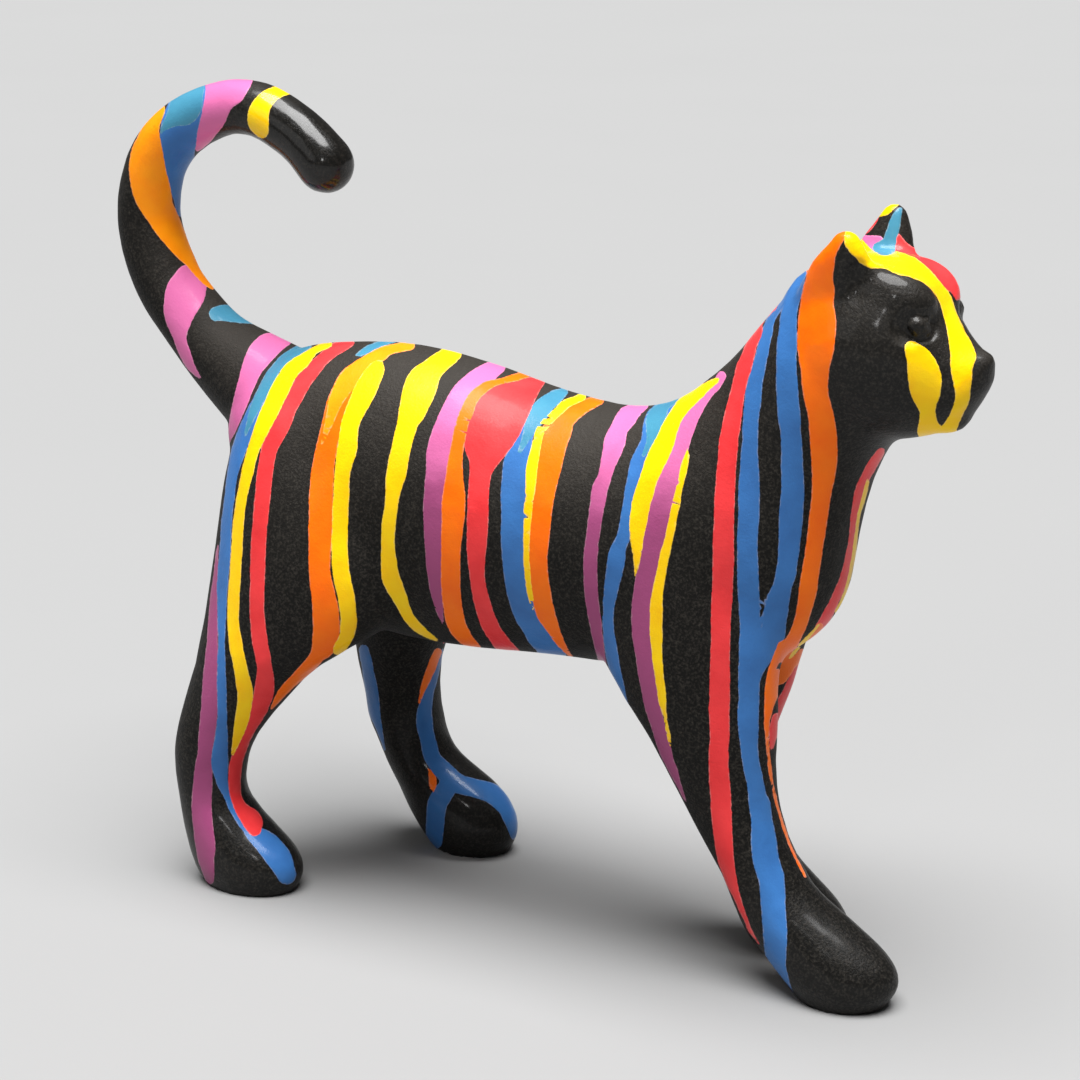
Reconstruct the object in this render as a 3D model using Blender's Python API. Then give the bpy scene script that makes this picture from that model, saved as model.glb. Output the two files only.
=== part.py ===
"""A cat ornament of papier-mache: it walks with its head up and its tail curled over its back.

The cat is one hollow skin of pasted paper, so it is one solid here. Its pose and carving are drawn as
slices across each limb, in drawing units: the cat is DRAWN_HEIGHT of them high. The limbs are lofted
through the slices, fused into one skin and evened out, as layers of paste do: first the trunk, thighs
and skull, which flow into each other, then the shins, tail and face, and last the eyes and the hollows
of the ears, which are the crispest.

Frame: X points to the nose, Y to the cat's left, Z up. The origin is on the floor, under the middle
of the bounding box. Everything but the drawing's own lists is in metres.
"""

import math
from typing import NamedTuple

import bmesh
import bpy
from mathutils import Matrix, Vector

FIGURE_HEIGHT = 0.346
DRAWN_HEIGHT = 346.0
UNIT = FIGURE_HEIGHT / DRAWN_HEIGHT

HIND_TRACK = 0.086
FRONT_TRACK = 0.039
HIP_WIDTH = 0.052
SHOULDER_WIDTH = 0.044
STRAIGHT_SHIN = 0.3

SLICE_SIDES = 32
STEPS_BETWEEN_SLICES = 4
DOME_STEPS = 6

SKIN_CELL = 0.0015
SMOOTH_FACTOR = 0.5
TRUNK_EVENING = 0.0051
LIMB_EVENING = 0.0022
EYE_EVENING = 0.0011
TRIANGLES = 9500
FACE_START = (98.0, 224.0)
FACE_WEIGHT = 0.5
FACE_CARE = 0.001

BLACK_PAINT = (0.012, 0.012, 0.012, 1.0)
PAINT_ROUGHNESS = 0.55


class Slice(NamedTuple):
    """A slice across a limb: its two outline points seen from the side, its half width and its place.

    side is how far the slice's middle is to the cat's left.
    """

    one_along: float
    one_up: float
    two_along: float
    two_up: float
    wide: float
    side: float = 0.0


class Bump(NamedTuple):
    """An egg shape: its middle, its half sizes along, across and up, and its turns in degrees.

    tilt turns its front end down, and yaw turns it towards the nose line.
    """

    middle: tuple
    half: tuple
    tilt: float = 0.0
    yaw: float = 0.0


TRUNK = [
    Slice(-156, 223, -148, 168, 31),
    Slice(-142, 233, -134, 140, 40),
    Slice(-118, 238, -112, 120, 45),
    Slice(-85, 240.5, -85, 113, 46),
    Slice(-50, 236.5, -50, 113, 45),
    Slice(-15, 229.2, -15, 116, 43),
    Slice(15, 226, 20, 118, 42),
    Slice(34, 229, 66, 122, 42),
    Slice(46, 234.5, 97.5, 135, 41),
    Slice(56, 242, 115, 154, 39),
    Slice(68, 252.5, 120, 179, 35),
    Slice(79, 266, 125, 202, 33),
    Slice(90, 279, 133, 222, 33),
]
TRUNK_END = 0.7

TAIL_MIDDLES = [
    (-142, 203),
    (-160, 213),
    (-176, 222),
    (-188, 230),
    (-199, 240.5),
    (-209, 251.5),
    (-215, 262.5),
    (-219, 274),
    (-220.5, 285),
    (-218.5, 297),
    (-214, 308.5),
    (-206, 318),
    (-195.5, 325.5),
    (-183, 331),
    (-170.5, 334),
    (-158, 333),
    (-146.5, 328.5),
    (-135, 321.5),
    (-125.5, 312.5),
]
TAIL_RADII = [26, 23, 19.5, 17, 15.8, 15.4, 15.2, 14.7, 14.2, 13.9, 13.5, 13.2, 12.7, 12.3, 12.2]
TAIL_TIP_RADIUS = 12.9

RIGHT_HIND_LEG = [
    Slice(-150, 210, -100, 210, 15),
    Slice(-158, 188, -82, 188, 21),
    Slice(-161, 165, -70, 165, 24),
    Slice(-163.5, 145, -68, 143, 25),
    Slice(-165.5, 128, -78, 124, 24),
    Slice(-167.5, 112, -96, 112, 23),
    Slice(-169.5, 99, -112, 101, 21.5),
    Slice(-173.5, 86, -124, 88, 20),
    Slice(-177, 73, -135, 75, 18.5),
    Slice(-179, 61, -143, 63, 17.5),
    Slice(-179, 49, -147, 51, 16.5),
    Slice(-177.5, 37, -147, 40, 16),
    Slice(-176, 25, -137, 30, 17),
    Slice(-174, 15, -121, 18, 18.5),
    Slice(-171, 7, -117, 8, 18.5),
    Slice(-166, 0, -121, 0, 16),
]
LEFT_HIND_LEG = [
    Slice(-150, 210, -92, 210, 15),
    Slice(-156, 188, -76, 188, 21),
    Slice(-155, 165, -66, 165, 24),
    Slice(-150, 145, -66, 143, 25),
    Slice(-146, 127, -72, 125, 24),
    Slice(-143, 112, -84, 112, 22.5),
    Slice(-139.5, 100, -92, 101, 21),
    Slice(-138.5, 88, -98, 88, 19.5),
    Slice(-137.5, 77, -100, 77, 18),
    Slice(-136, 67, -101, 67, 17.5),
    Slice(-135, 56, -99.5, 58, 17),
    Slice(-130, 46, -97, 49, 16.5),
    Slice(-125, 35, -90, 40, 16.5),
    Slice(-119.5, 25, -68, 27, 18),
    Slice(-114, 15, -60, 16, 18.5),
    Slice(-108, 7, -60, 7, 18),
    Slice(-102, 0, -64, 0, 15),
]
RIGHT_FRONT_LEG = [
    Slice(34, 208, 84, 208, 15),
    Slice(24, 188, 92, 190, 19),
    Slice(19, 165, 97, 170, 21.5),
    Slice(20, 145, 100, 150, 22.5),
    Slice(21.5, 129, 100, 133, 22.5),
    Slice(31.5, 114, 99.5, 118, 21.5),
    Slice(42, 101, 99, 106, 20.5),
    Slice(50, 89, 98.5, 95, 19.5),
    Slice(57, 78, 99, 84, 18.5),
    Slice(64, 67, 101, 72, 17.8),
    Slice(71, 56, 105, 61, 17),
    Slice(78, 45, 111, 51, 16.3),
    Slice(83, 34, 119, 41, 16.5),
    Slice(88, 24, 137, 30, 17.3),
    Slice(96, 16, 151.5, 19, 18.3),
    Slice(104, 8, 155, 9, 18.3),
    Slice(112, 0, 149, 0, 15),
]
LEFT_FRONT_LEG = [
    Slice(32, 208, 80, 208, 15),
    Slice(22, 188, 88, 190, 19),
    Slice(17, 165, 94, 170, 21.5),
    Slice(16, 145, 95, 150, 22),
    Slice(18, 129, 93, 133, 21.5),
    Slice(21, 115, 88, 117, 20.5),
    Slice(25, 103, 84, 105, 19.5),
    Slice(29, 92, 80, 94, 18.7),
    Slice(34, 81, 77, 83, 18),
    Slice(39, 70, 75, 72, 17.5),
    Slice(45, 58, 78, 61, 17),
    Slice(51, 46, 82, 50, 16.3),
    Slice(57, 34, 89, 38, 16.5),
    Slice(61.5, 24, 102, 27, 17.3),
    Slice(64, 15, 113, 17, 18.2),
    Slice(67, 8, 115, 8, 18),
    Slice(73, 0, 110, 0, 14.5),
]
THIGH_SLICES = 7
SHARED_SLICES = 2
THIGH_END = 0.4
SOLE_END = 0.3

SKULL = [
    Slice(97, 289, 108, 223, 27),
    Slice(112, 297, 123, 225.5, 32),
    Slice(127, 299, 138, 227.5, 32.5),
    Slice(140, 299, 149, 229.5, 29.5),
    Slice(150, 292, 157, 232.5, 24),
    Slice(157, 280.5, 162, 236, 18.5),
    Slice(163.5, 271.5, 167.5, 239.5, 15),
    Slice(169, 266.5, 171.5, 245, 12),
    Slice(173, 263.5, 174, 250, 8),
]
SKULL_END = 0.35
BROW = Bump((141, 12.5, 283.5), (16.5, 12, 12.5), 20, 8)
CHEEK_PAD = Bump((161, 8, 251.5), (10, 9, 11.5), 10, 0)
NOSE = Bump((172, 0, 261.5), (5, 6, 4.5))
CHIN = Bump((158, 0, 239.5), (10, 11, 7.5))

EAR = [
    Slice(98, 276, 136, 281, 9.5, 15.5),
    Slice(104.5, 289, 136, 292, 9, 18),
    Slice(112, 301, 133, 302.5, 7.6, 20.5),
    Slice(118.5, 310, 129.5, 311.5, 5.2, 22),
]
EAR_END = 0.8
EAR_HOLLOW = Bump((131.5, 27.5, 292.5), (5.2, 5.5, 10.5), 12, 42)

EYE = Bump((151.5, 18.6, 277), (5.6, 3.4, 4.6), 12, 35)
SOCKET = Bump((152.5, 23.6, 276.5), (8.5, 5, 7), 12, 35)


def catmull_rom(before, start, end, after, share):
    """A value on the smooth curve from start to end, at share of the way."""
    square, cube = share * share, share**3
    return 0.5 * (
        2 * start
        + (end - before) * share
        + (2 * before - 5 * start + 4 * end - after) * square
        + (3 * start - before - 3 * end + after) * cube
    )


def sized(slices):
    """Slices of the drawing, in metres."""
    return [Slice(*(UNIT * value for value in piece)) for piece in slices]


def smooth_slices(slices):
    """The slices with smooth ones worked out between them."""
    found = []
    last = len(slices) - 1
    for i in range(last):
        around = [slices[max(i - 1, 0)], slices[i], slices[i + 1], slices[min(i + 2, last)]]
        for step in range(STEPS_BETWEEN_SLICES):
            share = step / STEPS_BETWEEN_SLICES
            found.append(Slice(*(catmull_rom(*values, share) for values in zip(*around))))
    return [*found, slices[-1]]


def frame_of(piece):
    """The middle of a slice, and its half depth as a vector from the middle to its first point."""
    one = Vector((piece.one_along, piece.side, piece.one_up))
    two = Vector((piece.two_along, piece.side, piece.two_up))
    return (one + two) / 2, (one - two) / 2


def outward_of(end, neighbour):
    """The direction in which a limb ends, square to its end slice."""
    middle, depth = frame_of(end)
    square = Vector((depth.z, 0, -depth.x)).normalized()
    return square if square.dot(middle - frame_of(neighbour)[0]) > 0 else -square


def add_limb(skin, slices, end_share=1.0):
    """Adds a limb lofted through the slices, with rounded ends that stand out by end_share."""
    path = smooth_slices(slices)
    loops = []
    ends = ((path[0], outward_of(path[0], path[1])), (path[-1], outward_of(path[-1], path[-2])))
    reaches = [end_share * min(end.wide, frame_of(end)[1].length) for end, _ in ends]
    turns = [2 * math.pi * k / SLICE_SIDES for k in range(SLICE_SIDES)]

    def add_loop(piece, shrink=1.0, shift=Vector((0, 0, 0))):
        middle, depth = frame_of(piece)
        across = Vector((0, piece.wide, 0))
        loops.append([
            skin.verts.new(middle + shift + shrink * (depth * math.cos(t) + across * math.sin(t)))
            for t in turns
        ])

    domes = [math.pi / 2 * step / DOME_STEPS for step in range(1, DOME_STEPS)]
    for angle in reversed(domes):
        add_loop(path[0], math.cos(angle), ends[0][1] * reaches[0] * math.sin(angle))
    for piece in path:
        add_loop(piece)
    for angle in domes:
        add_loop(path[-1], math.cos(angle), ends[1][1] * reaches[1] * math.sin(angle))
    for lower, upper in zip(loops, loops[1:]):
        for k in range(SLICE_SIDES):
            after = (k + 1) % SLICE_SIDES
            skin.faces.new((lower[k], lower[after], upper[after], upper[k]))
    for loop, (end, outward), reach in zip((loops[0], loops[-1]), ends, reaches):
        pole = skin.verts.new(frame_of(end)[0] + outward * reach)
        for k in range(SLICE_SIDES):
            skin.faces.new((loop[k], loop[(k + 1) % SLICE_SIDES], pole))


def add_bump(skin, bump, side=1.0):
    """Adds an egg shape, on the cat's left for side 1 and on its right for side -1."""
    along, across, up = (UNIT * value for value in bump.middle)
    place = Matrix.Translation((along, across * side, up))
    tilt = Matrix.Rotation(math.radians(bump.tilt), 4, "Y")
    turn = Matrix.Rotation(math.radians(-bump.yaw * side), 4, "Z") @ tilt
    stretch = Matrix.Diagonal((*(UNIT * value for value in bump.half), 1.0))
    bmesh.ops.create_uvsphere(
        skin, u_segments=SLICE_SIDES, v_segments=SLICE_SIDES // 2, radius=1.0, matrix=place @ turn @ stretch
    )


def object_from(skin, name):
    """Turns the drawn shape into an object and links it."""
    bmesh.ops.recalc_face_normals(skin, faces=skin.faces[:])
    mesh = bpy.data.meshes.new(name)
    skin.to_mesh(mesh)
    skin.free()
    made = bpy.data.objects.new(name, mesh)
    bpy.context.scene.collection.objects.link(made)
    return made


def baked(source):
    """The shape of an object with its modifiers applied, as a bmesh. The object is removed."""
    graph = bpy.context.evaluated_depsgraph_get()
    skin = bmesh.new()
    skin.from_object(source, graph)
    bpy.data.objects.remove(source)
    return skin


def fuse(skin, evening):
    """Makes one skin of shapes that overlap, and evens it out.

    evening is how far a dent spreads: a tube of radius r loses about evening squared over r.
    """
    made = object_from(skin, "overlapping shapes")
    remesh = made.modifiers.new("one skin", "REMESH")
    remesh.mode = "VOXEL"
    remesh.voxel_size = SKIN_CELL
    smooth = made.modifiers.new("evening", "SMOOTH")
    smooth.factor = SMOOTH_FACTOR
    smooth.iterations = round(4 * (evening / SKIN_CELL) ** 2 / SMOOTH_FACTOR)
    return baked(made)


def leg_slices(drawn, side, top_width, track):
    """A leg's slices with their sideways places, from half the top width to half the track.

    The lowest STRAIGHT_SHIN of the leg goes straight down.
    """
    slices = sized(drawn)
    top = slices[0].one_up
    slanted = (1 - STRAIGHT_SHIN) * (top - slices[-1].one_up)

    def place(piece):
        share = min(1.0, (top - piece.one_up) / slanted)
        return side * (top_width + (track - top_width) * share) / 2

    return [piece._replace(side=place(piece)) for piece in slices]


def all_legs():
    """The slices of the four legs. The right legs are on the -Y side."""
    return [
        leg_slices(RIGHT_HIND_LEG, -1, HIP_WIDTH, HIND_TRACK),
        leg_slices(LEFT_HIND_LEG, 1, HIP_WIDTH, HIND_TRACK),
        leg_slices(RIGHT_FRONT_LEG, -1, SHOULDER_WIDTH, FRONT_TRACK),
        leg_slices(LEFT_FRONT_LEG, 1, SHOULDER_WIDTH, FRONT_TRACK),
    ]


def tail_slices():
    """Slices square to the tail's curve, thinner towards its tip."""
    last = len(TAIL_MIDDLES) - 1
    found = []
    for i, (along, up) in enumerate(TAIL_MIDDLES):
        before, after = TAIL_MIDDLES[max(i - 1, 0)], TAIL_MIDDLES[min(i + 1, last)]
        direction = Vector((after[0] - before[0], after[1] - before[1])).normalized()
        radius = TAIL_RADII[i] if i < len(TAIL_RADII) else TAIL_RADII[-1]
        radius = TAIL_TIP_RADIUS if i == last else radius
        reach = Vector((-direction.y, direction.x)) * radius
        found.append(Slice(along + reach.x, up + reach.y, along - reach.x, up - reach.y, radius))
    return sized(found)


def ear_slices(side):
    """The slices of the left ear for side 1, and of the right ear for side -1."""
    return [piece._replace(side=side * piece.side) for piece in sized(EAR)]


def add_head(skin):
    """Adds skull, brows, muzzle and ears."""
    add_limb(skin, sized(SKULL), SKULL_END)
    for bump in (NOSE, CHIN):
        add_bump(skin, bump)
    for side in (-1, 1):
        add_bump(skin, CHEEK_PAD, side)
        add_bump(skin, BROW, side)
        add_limb(skin, ear_slices(side), EAR_END)


def body():
    """Trunk, legs, tail and head in one skin."""
    trunk = bmesh.new()
    add_limb(trunk, sized(TRUNK), TRUNK_END)
    add_limb(trunk, sized(SKULL), SKULL_END)
    for leg in all_legs():
        add_limb(trunk, leg[:THIGH_SLICES], THIGH_END)
    skin = fuse(trunk, TRUNK_EVENING)
    for leg in all_legs():
        add_limb(skin, leg[THIGH_SLICES - SHARED_SLICES:], SOLE_END)
    add_limb(skin, tail_slices())
    add_head(skin)
    return fuse(skin, LIMB_EVENING)


def cut(target, cutter_skin):
    """The target with the cutter's shape taken away."""
    made = object_from(target, "kept")
    cutter = object_from(cutter_skin, "cutter")
    boolean = made.modifiers.new("cut", "BOOLEAN")
    boolean.operation = "DIFFERENCE"
    boolean.object = cutter
    result = baked(made)
    bpy.data.objects.remove(cutter)
    return result


def with_eyes(skin):
    """The skin with hollow ears, and with eyes in their sockets."""
    hollows = bmesh.new()
    for side in (-1, 1):
        add_bump(hollows, EAR_HOLLOW, side)
        add_bump(hollows, SOCKET, side)
    carved = cut(skin, hollows)
    for side in (-1, 1):
        add_bump(carved, EYE, side)
    return fuse(carved, EYE_EVENING)


def thin_out(skin):
    """The skin with few faces where it is plain, and more on the face, by FACE_CARE."""
    made = object_from(skin, "fine skin")
    plain = made.vertex_groups.new(name="plain")
    face_along, face_up = (UNIT * value for value in FACE_START)
    for vertex in made.data.vertices:
        on_face = vertex.co.x > face_along and vertex.co.z > face_up
        plain.add([vertex.index], FACE_WEIGHT if on_face else 1.0, "REPLACE")
    fine = sum(len(face.vertices) - 2 for face in made.data.polygons)
    decimate = made.modifiers.new("fewer faces", "DECIMATE")
    decimate.vertex_group = plain.name
    decimate.vertex_group_factor = FACE_CARE
    decimate.ratio = min(1.0, TRIANGLES / fine)
    return baked(made)


def stand_on_floor(skin):
    """Cuts the soles flat at the floor, and sets the origin under the middle of the cat."""
    geometry = skin.verts[:] + skin.edges[:] + skin.faces[:]
    cut_parts = bmesh.ops.bisect_plane(
        skin, geom=geometry, plane_co=(0, 0, 0), plane_no=(0, 0, -1), clear_outer=True
    )["geom_cut"]
    bmesh.ops.holes_fill(skin, edges=[e for e in cut_parts if isinstance(e, bmesh.types.BMEdge)])
    lows = [min(v.co[k] for v in skin.verts) for k in range(3)]
    highs = [max(v.co[k] for v in skin.verts) for k in range(3)]
    middle = Vector(((lows[0] + highs[0]) / 2, (lows[1] + highs[1]) / 2, 0))
    bmesh.ops.translate(skin, verts=skin.verts[:], vec=-middle)
    return skin


def paint():
    """The matt black that covers the paper."""
    material = bpy.data.materials.new("black paint")
    material.use_nodes = True
    shader = material.node_tree.nodes["Principled BSDF"]
    shader.inputs["Base Color"].default_value = BLACK_PAINT
    shader.inputs["Roughness"].default_value = PAINT_ROUGHNESS
    shader.inputs["Metallic"].default_value = 0.0
    return material


def main():
    """Clears the scene and builds the cat."""
    for old in list(bpy.data.objects):
        bpy.data.objects.remove(old)
    cat = object_from(stand_on_floor(thin_out(with_eyes(body()))), "cat")
    cat.data.materials.append(paint())
    cat.data.shade_smooth()


main()
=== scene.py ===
"""The painted skin of a papier-mache cat: black, with runs of bright paint poured over its back.

The cat's solid carries the skin. The skin is a finer copy of it, evened out and given the slight lumps
of pasted paper. Runs of paint are marked on it as distances: each run follows a line over the skin, and
each point of the skin knows how far inside the nearest run of each paint it lies. The finish turns
those distances into paint with crisp, slightly ragged edges.

Runs on the right side are placed as the camera sees them, in pixels of a 1080 x 1080 picture, and then
lie on the skin. The left side has looser twins of them. Everything else is in metres, +Z up.
"""

import logging
import math
from dataclasses import dataclass, field
from enum import Enum
from typing import Any

import bmesh
import bpy
import numpy as np
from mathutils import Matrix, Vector
from mathutils.bvhtree import BVHTree


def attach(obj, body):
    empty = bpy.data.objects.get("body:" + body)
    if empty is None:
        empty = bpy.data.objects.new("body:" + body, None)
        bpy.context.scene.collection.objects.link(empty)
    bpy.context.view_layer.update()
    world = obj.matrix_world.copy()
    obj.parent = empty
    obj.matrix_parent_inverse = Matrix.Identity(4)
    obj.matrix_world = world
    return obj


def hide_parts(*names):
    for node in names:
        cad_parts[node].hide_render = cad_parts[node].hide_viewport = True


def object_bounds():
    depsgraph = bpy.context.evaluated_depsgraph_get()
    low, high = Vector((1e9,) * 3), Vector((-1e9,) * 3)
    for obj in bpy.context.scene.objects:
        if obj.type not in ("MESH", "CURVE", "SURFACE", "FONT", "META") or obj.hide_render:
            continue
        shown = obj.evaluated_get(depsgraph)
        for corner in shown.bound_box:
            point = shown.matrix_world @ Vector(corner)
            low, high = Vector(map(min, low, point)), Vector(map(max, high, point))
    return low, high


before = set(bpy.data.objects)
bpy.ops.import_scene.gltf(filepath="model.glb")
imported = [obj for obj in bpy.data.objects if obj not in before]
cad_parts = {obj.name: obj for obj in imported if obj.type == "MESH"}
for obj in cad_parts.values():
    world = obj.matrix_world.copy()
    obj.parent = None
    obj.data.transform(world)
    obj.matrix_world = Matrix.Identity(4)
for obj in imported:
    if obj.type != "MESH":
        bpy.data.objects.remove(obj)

CAD_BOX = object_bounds()
LOG = logging.getLogger("cat")


class Paint(Enum):
    """The paints, in the order in which they cover each other."""

    PINK = "pink"
    BLUE = "blue"
    # This pale blue is its own paint in the small teardrops, and painted highlight over the tops of the blue
    # runs and on the far ear: blue painted paler where light falls on it.
    SKY = "sky"
    RED = "red"
    ORANGE = "orange"
    # This lighter orange is painted light: orange painted lighter where the top light falls on it, on the tail
    # and the top of the hip.
    AMBER = "amber"
    YELLOW = "yellow"

    @property
    def attribute(self) -> str:
        """The name of the skin's distance attribute for this paint."""
        return f"paint_{self.value}"


@dataclass(frozen=True)
class Run:
    """A run of paint, as the camera sees it.

    points are its middle line and half width in pixels. rows are readings across it instead: a height
    in the picture, and the places of its left and right edges there. A run that lies flat keeps at
    least the share least_slant of what its rows measure.
    """

    paint: Paint
    points: tuple[tuple[float, float, float], ...] = ()
    rows: tuple[tuple[float, float, float], ...] = ()
    twin: bool = True
    least_slant: float = 0.35

    def middle_line(self) -> np.ndarray:
        """The run's middle line and half width, at its own readings.

        Returns:
            An array of across, down and half width, in pixels.
        """
        if self.points:
            return np.array(self.points, float)
        table = np.array(self.rows, float)
        middle = np.column_stack([(table[:, 1] + table[:, 2]) / 2, table[:, 0]])
        slope = np.gradient(middle, axis=0)
        upright = np.abs(slope[:, 1]) / np.hypot(slope[:, 0], slope[:, 1])
        half = (table[:, 2] - table[:, 1]) / 2 * np.maximum(upright, self.least_slant)
        return np.column_stack([middle, half])


@dataclass(frozen=True)
class Patch:
    """An outlined patch of paint on the head, as the camera sees it, in pixels."""

    paint: Paint
    outline: tuple[tuple[float, float], ...]

    def depth_inside(self, seen: np.ndarray) -> np.ndarray:
        """How far inside the outline each point of the picture lies.

        Args:
            seen: places in the picture, one row each.

        Returns:
            Pixels inside, or less than zero outside.
        """
        corners = np.array(self.outline, float)
        far = np.full(len(seen), np.inf)
        inside = np.zeros(len(seen), bool)
        for start, end in zip(corners, np.roll(corners, -1, axis=0)):
            side = end - start
            share = np.clip((seen - start) @ side / (side @ side), 0, 1)
            far = np.minimum(far, np.linalg.norm(seen - start - share[:, None] * side, axis=1))
            crosses = (start[1] > seen[:, 1]) != (end[1] > seen[:, 1])
            if side[1]:
                inside ^= crosses & (seen[:, 0] < start[0] + (seen[:, 1] - start[1]) * side[0] / side[1])
        return np.where(inside, far, -far)


TAIL_RUNS = (
    Run(Paint.YELLOW, points=(
        (292, 90, 3.5), (282, 91, 5.5), (273, 94, 7), (265, 101, 8.5), (259, 111, 10), (258, 122, 10.5),
        (262, 132, 6.5),
    )),
    Run(Paint.PINK, points=(
        (231, 76, 22), (227, 86, 20.5), (222, 93, 18), (218, 100, 16), (215, 108, 15), (212, 117, 14),
        (207.5, 127, 11.5),
        (202.5, 138, 8), (198, 148, 3.5),
    )),
    Run(Paint.BLUE, points=(
        (193, 90, 13), (188, 101, 16), (184, 112, 18), (180.5, 123, 18.5), (178.5, 133, 18.5),
        (178.5, 144, 17.5),
        (178.5, 154, 16), (178, 165, 14), (178, 175, 12), (178.5, 186, 9), (179.5, 197, 6.5), (180, 213, 3.5),
    )),
    # Painted highlight: pale blue over the top of the blue run, where the light falls on it.
    Run(Paint.SKY, rows=(
        (88, 194, 207), (93, 184, 206.5), (98, 175, 206), (104, 168, 205), (110, 164, 203), (116, 162, 192),
        (122, 161, 179), (128, 160, 167), (133, 160, 162),
    )),
    # Painted light: the tail's orange, painted lighter where the top light falls on it.
    Run(Paint.AMBER, rows=(
        (106, 160, 165), (112, 156, 165), (123, 146, 161), (133, 140, 159.5), (144, 135, 161), (154, 131, 163),
        (165, 129, 165), (175, 129, 167), (186, 130.5, 170), (196, 134, 172.5), (207, 139.5, 175),
        (217, 146, 180), (228, 153.5, 184.5), (238, 161.5, 189), (249, 170.5, 194.5), (259, 181, 200),
        (270, 190.5, 206), (280, 200, 211), (287, 209, 216),
    )),
    Run(Paint.PINK, rows=(
        (271, 181, 192), (280, 174, 205), (291, 165.5, 207), (302, 163, 201), (312, 164, 195),
        (323, 167, 190.5),
        (333, 171.5, 187), (344, 175, 187.5), (354, 179, 191.5), (365, 185, 195), (373, 192.5, 199),
        (378, 199, 202),
    )),
    Run(Paint.SKY, points=(
        (216, 314, 7), (226, 313, 8.5), (237, 316, 6.5), (247, 320, 3.5), (257, 323.5, 1.2),
    )),
    Run(Paint.PINK, points=(
        (299, 339, 2.5), (289, 339, 5), (277, 342, 9.5), (267, 347, 13), (258.5, 357, 12.5), (252, 368, 10.5),
        (247, 382, 9),
        (242, 397, 8), (237, 413, 6.5), (232, 430, 4), (228, 443, 1.2),
    )),
)

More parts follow.
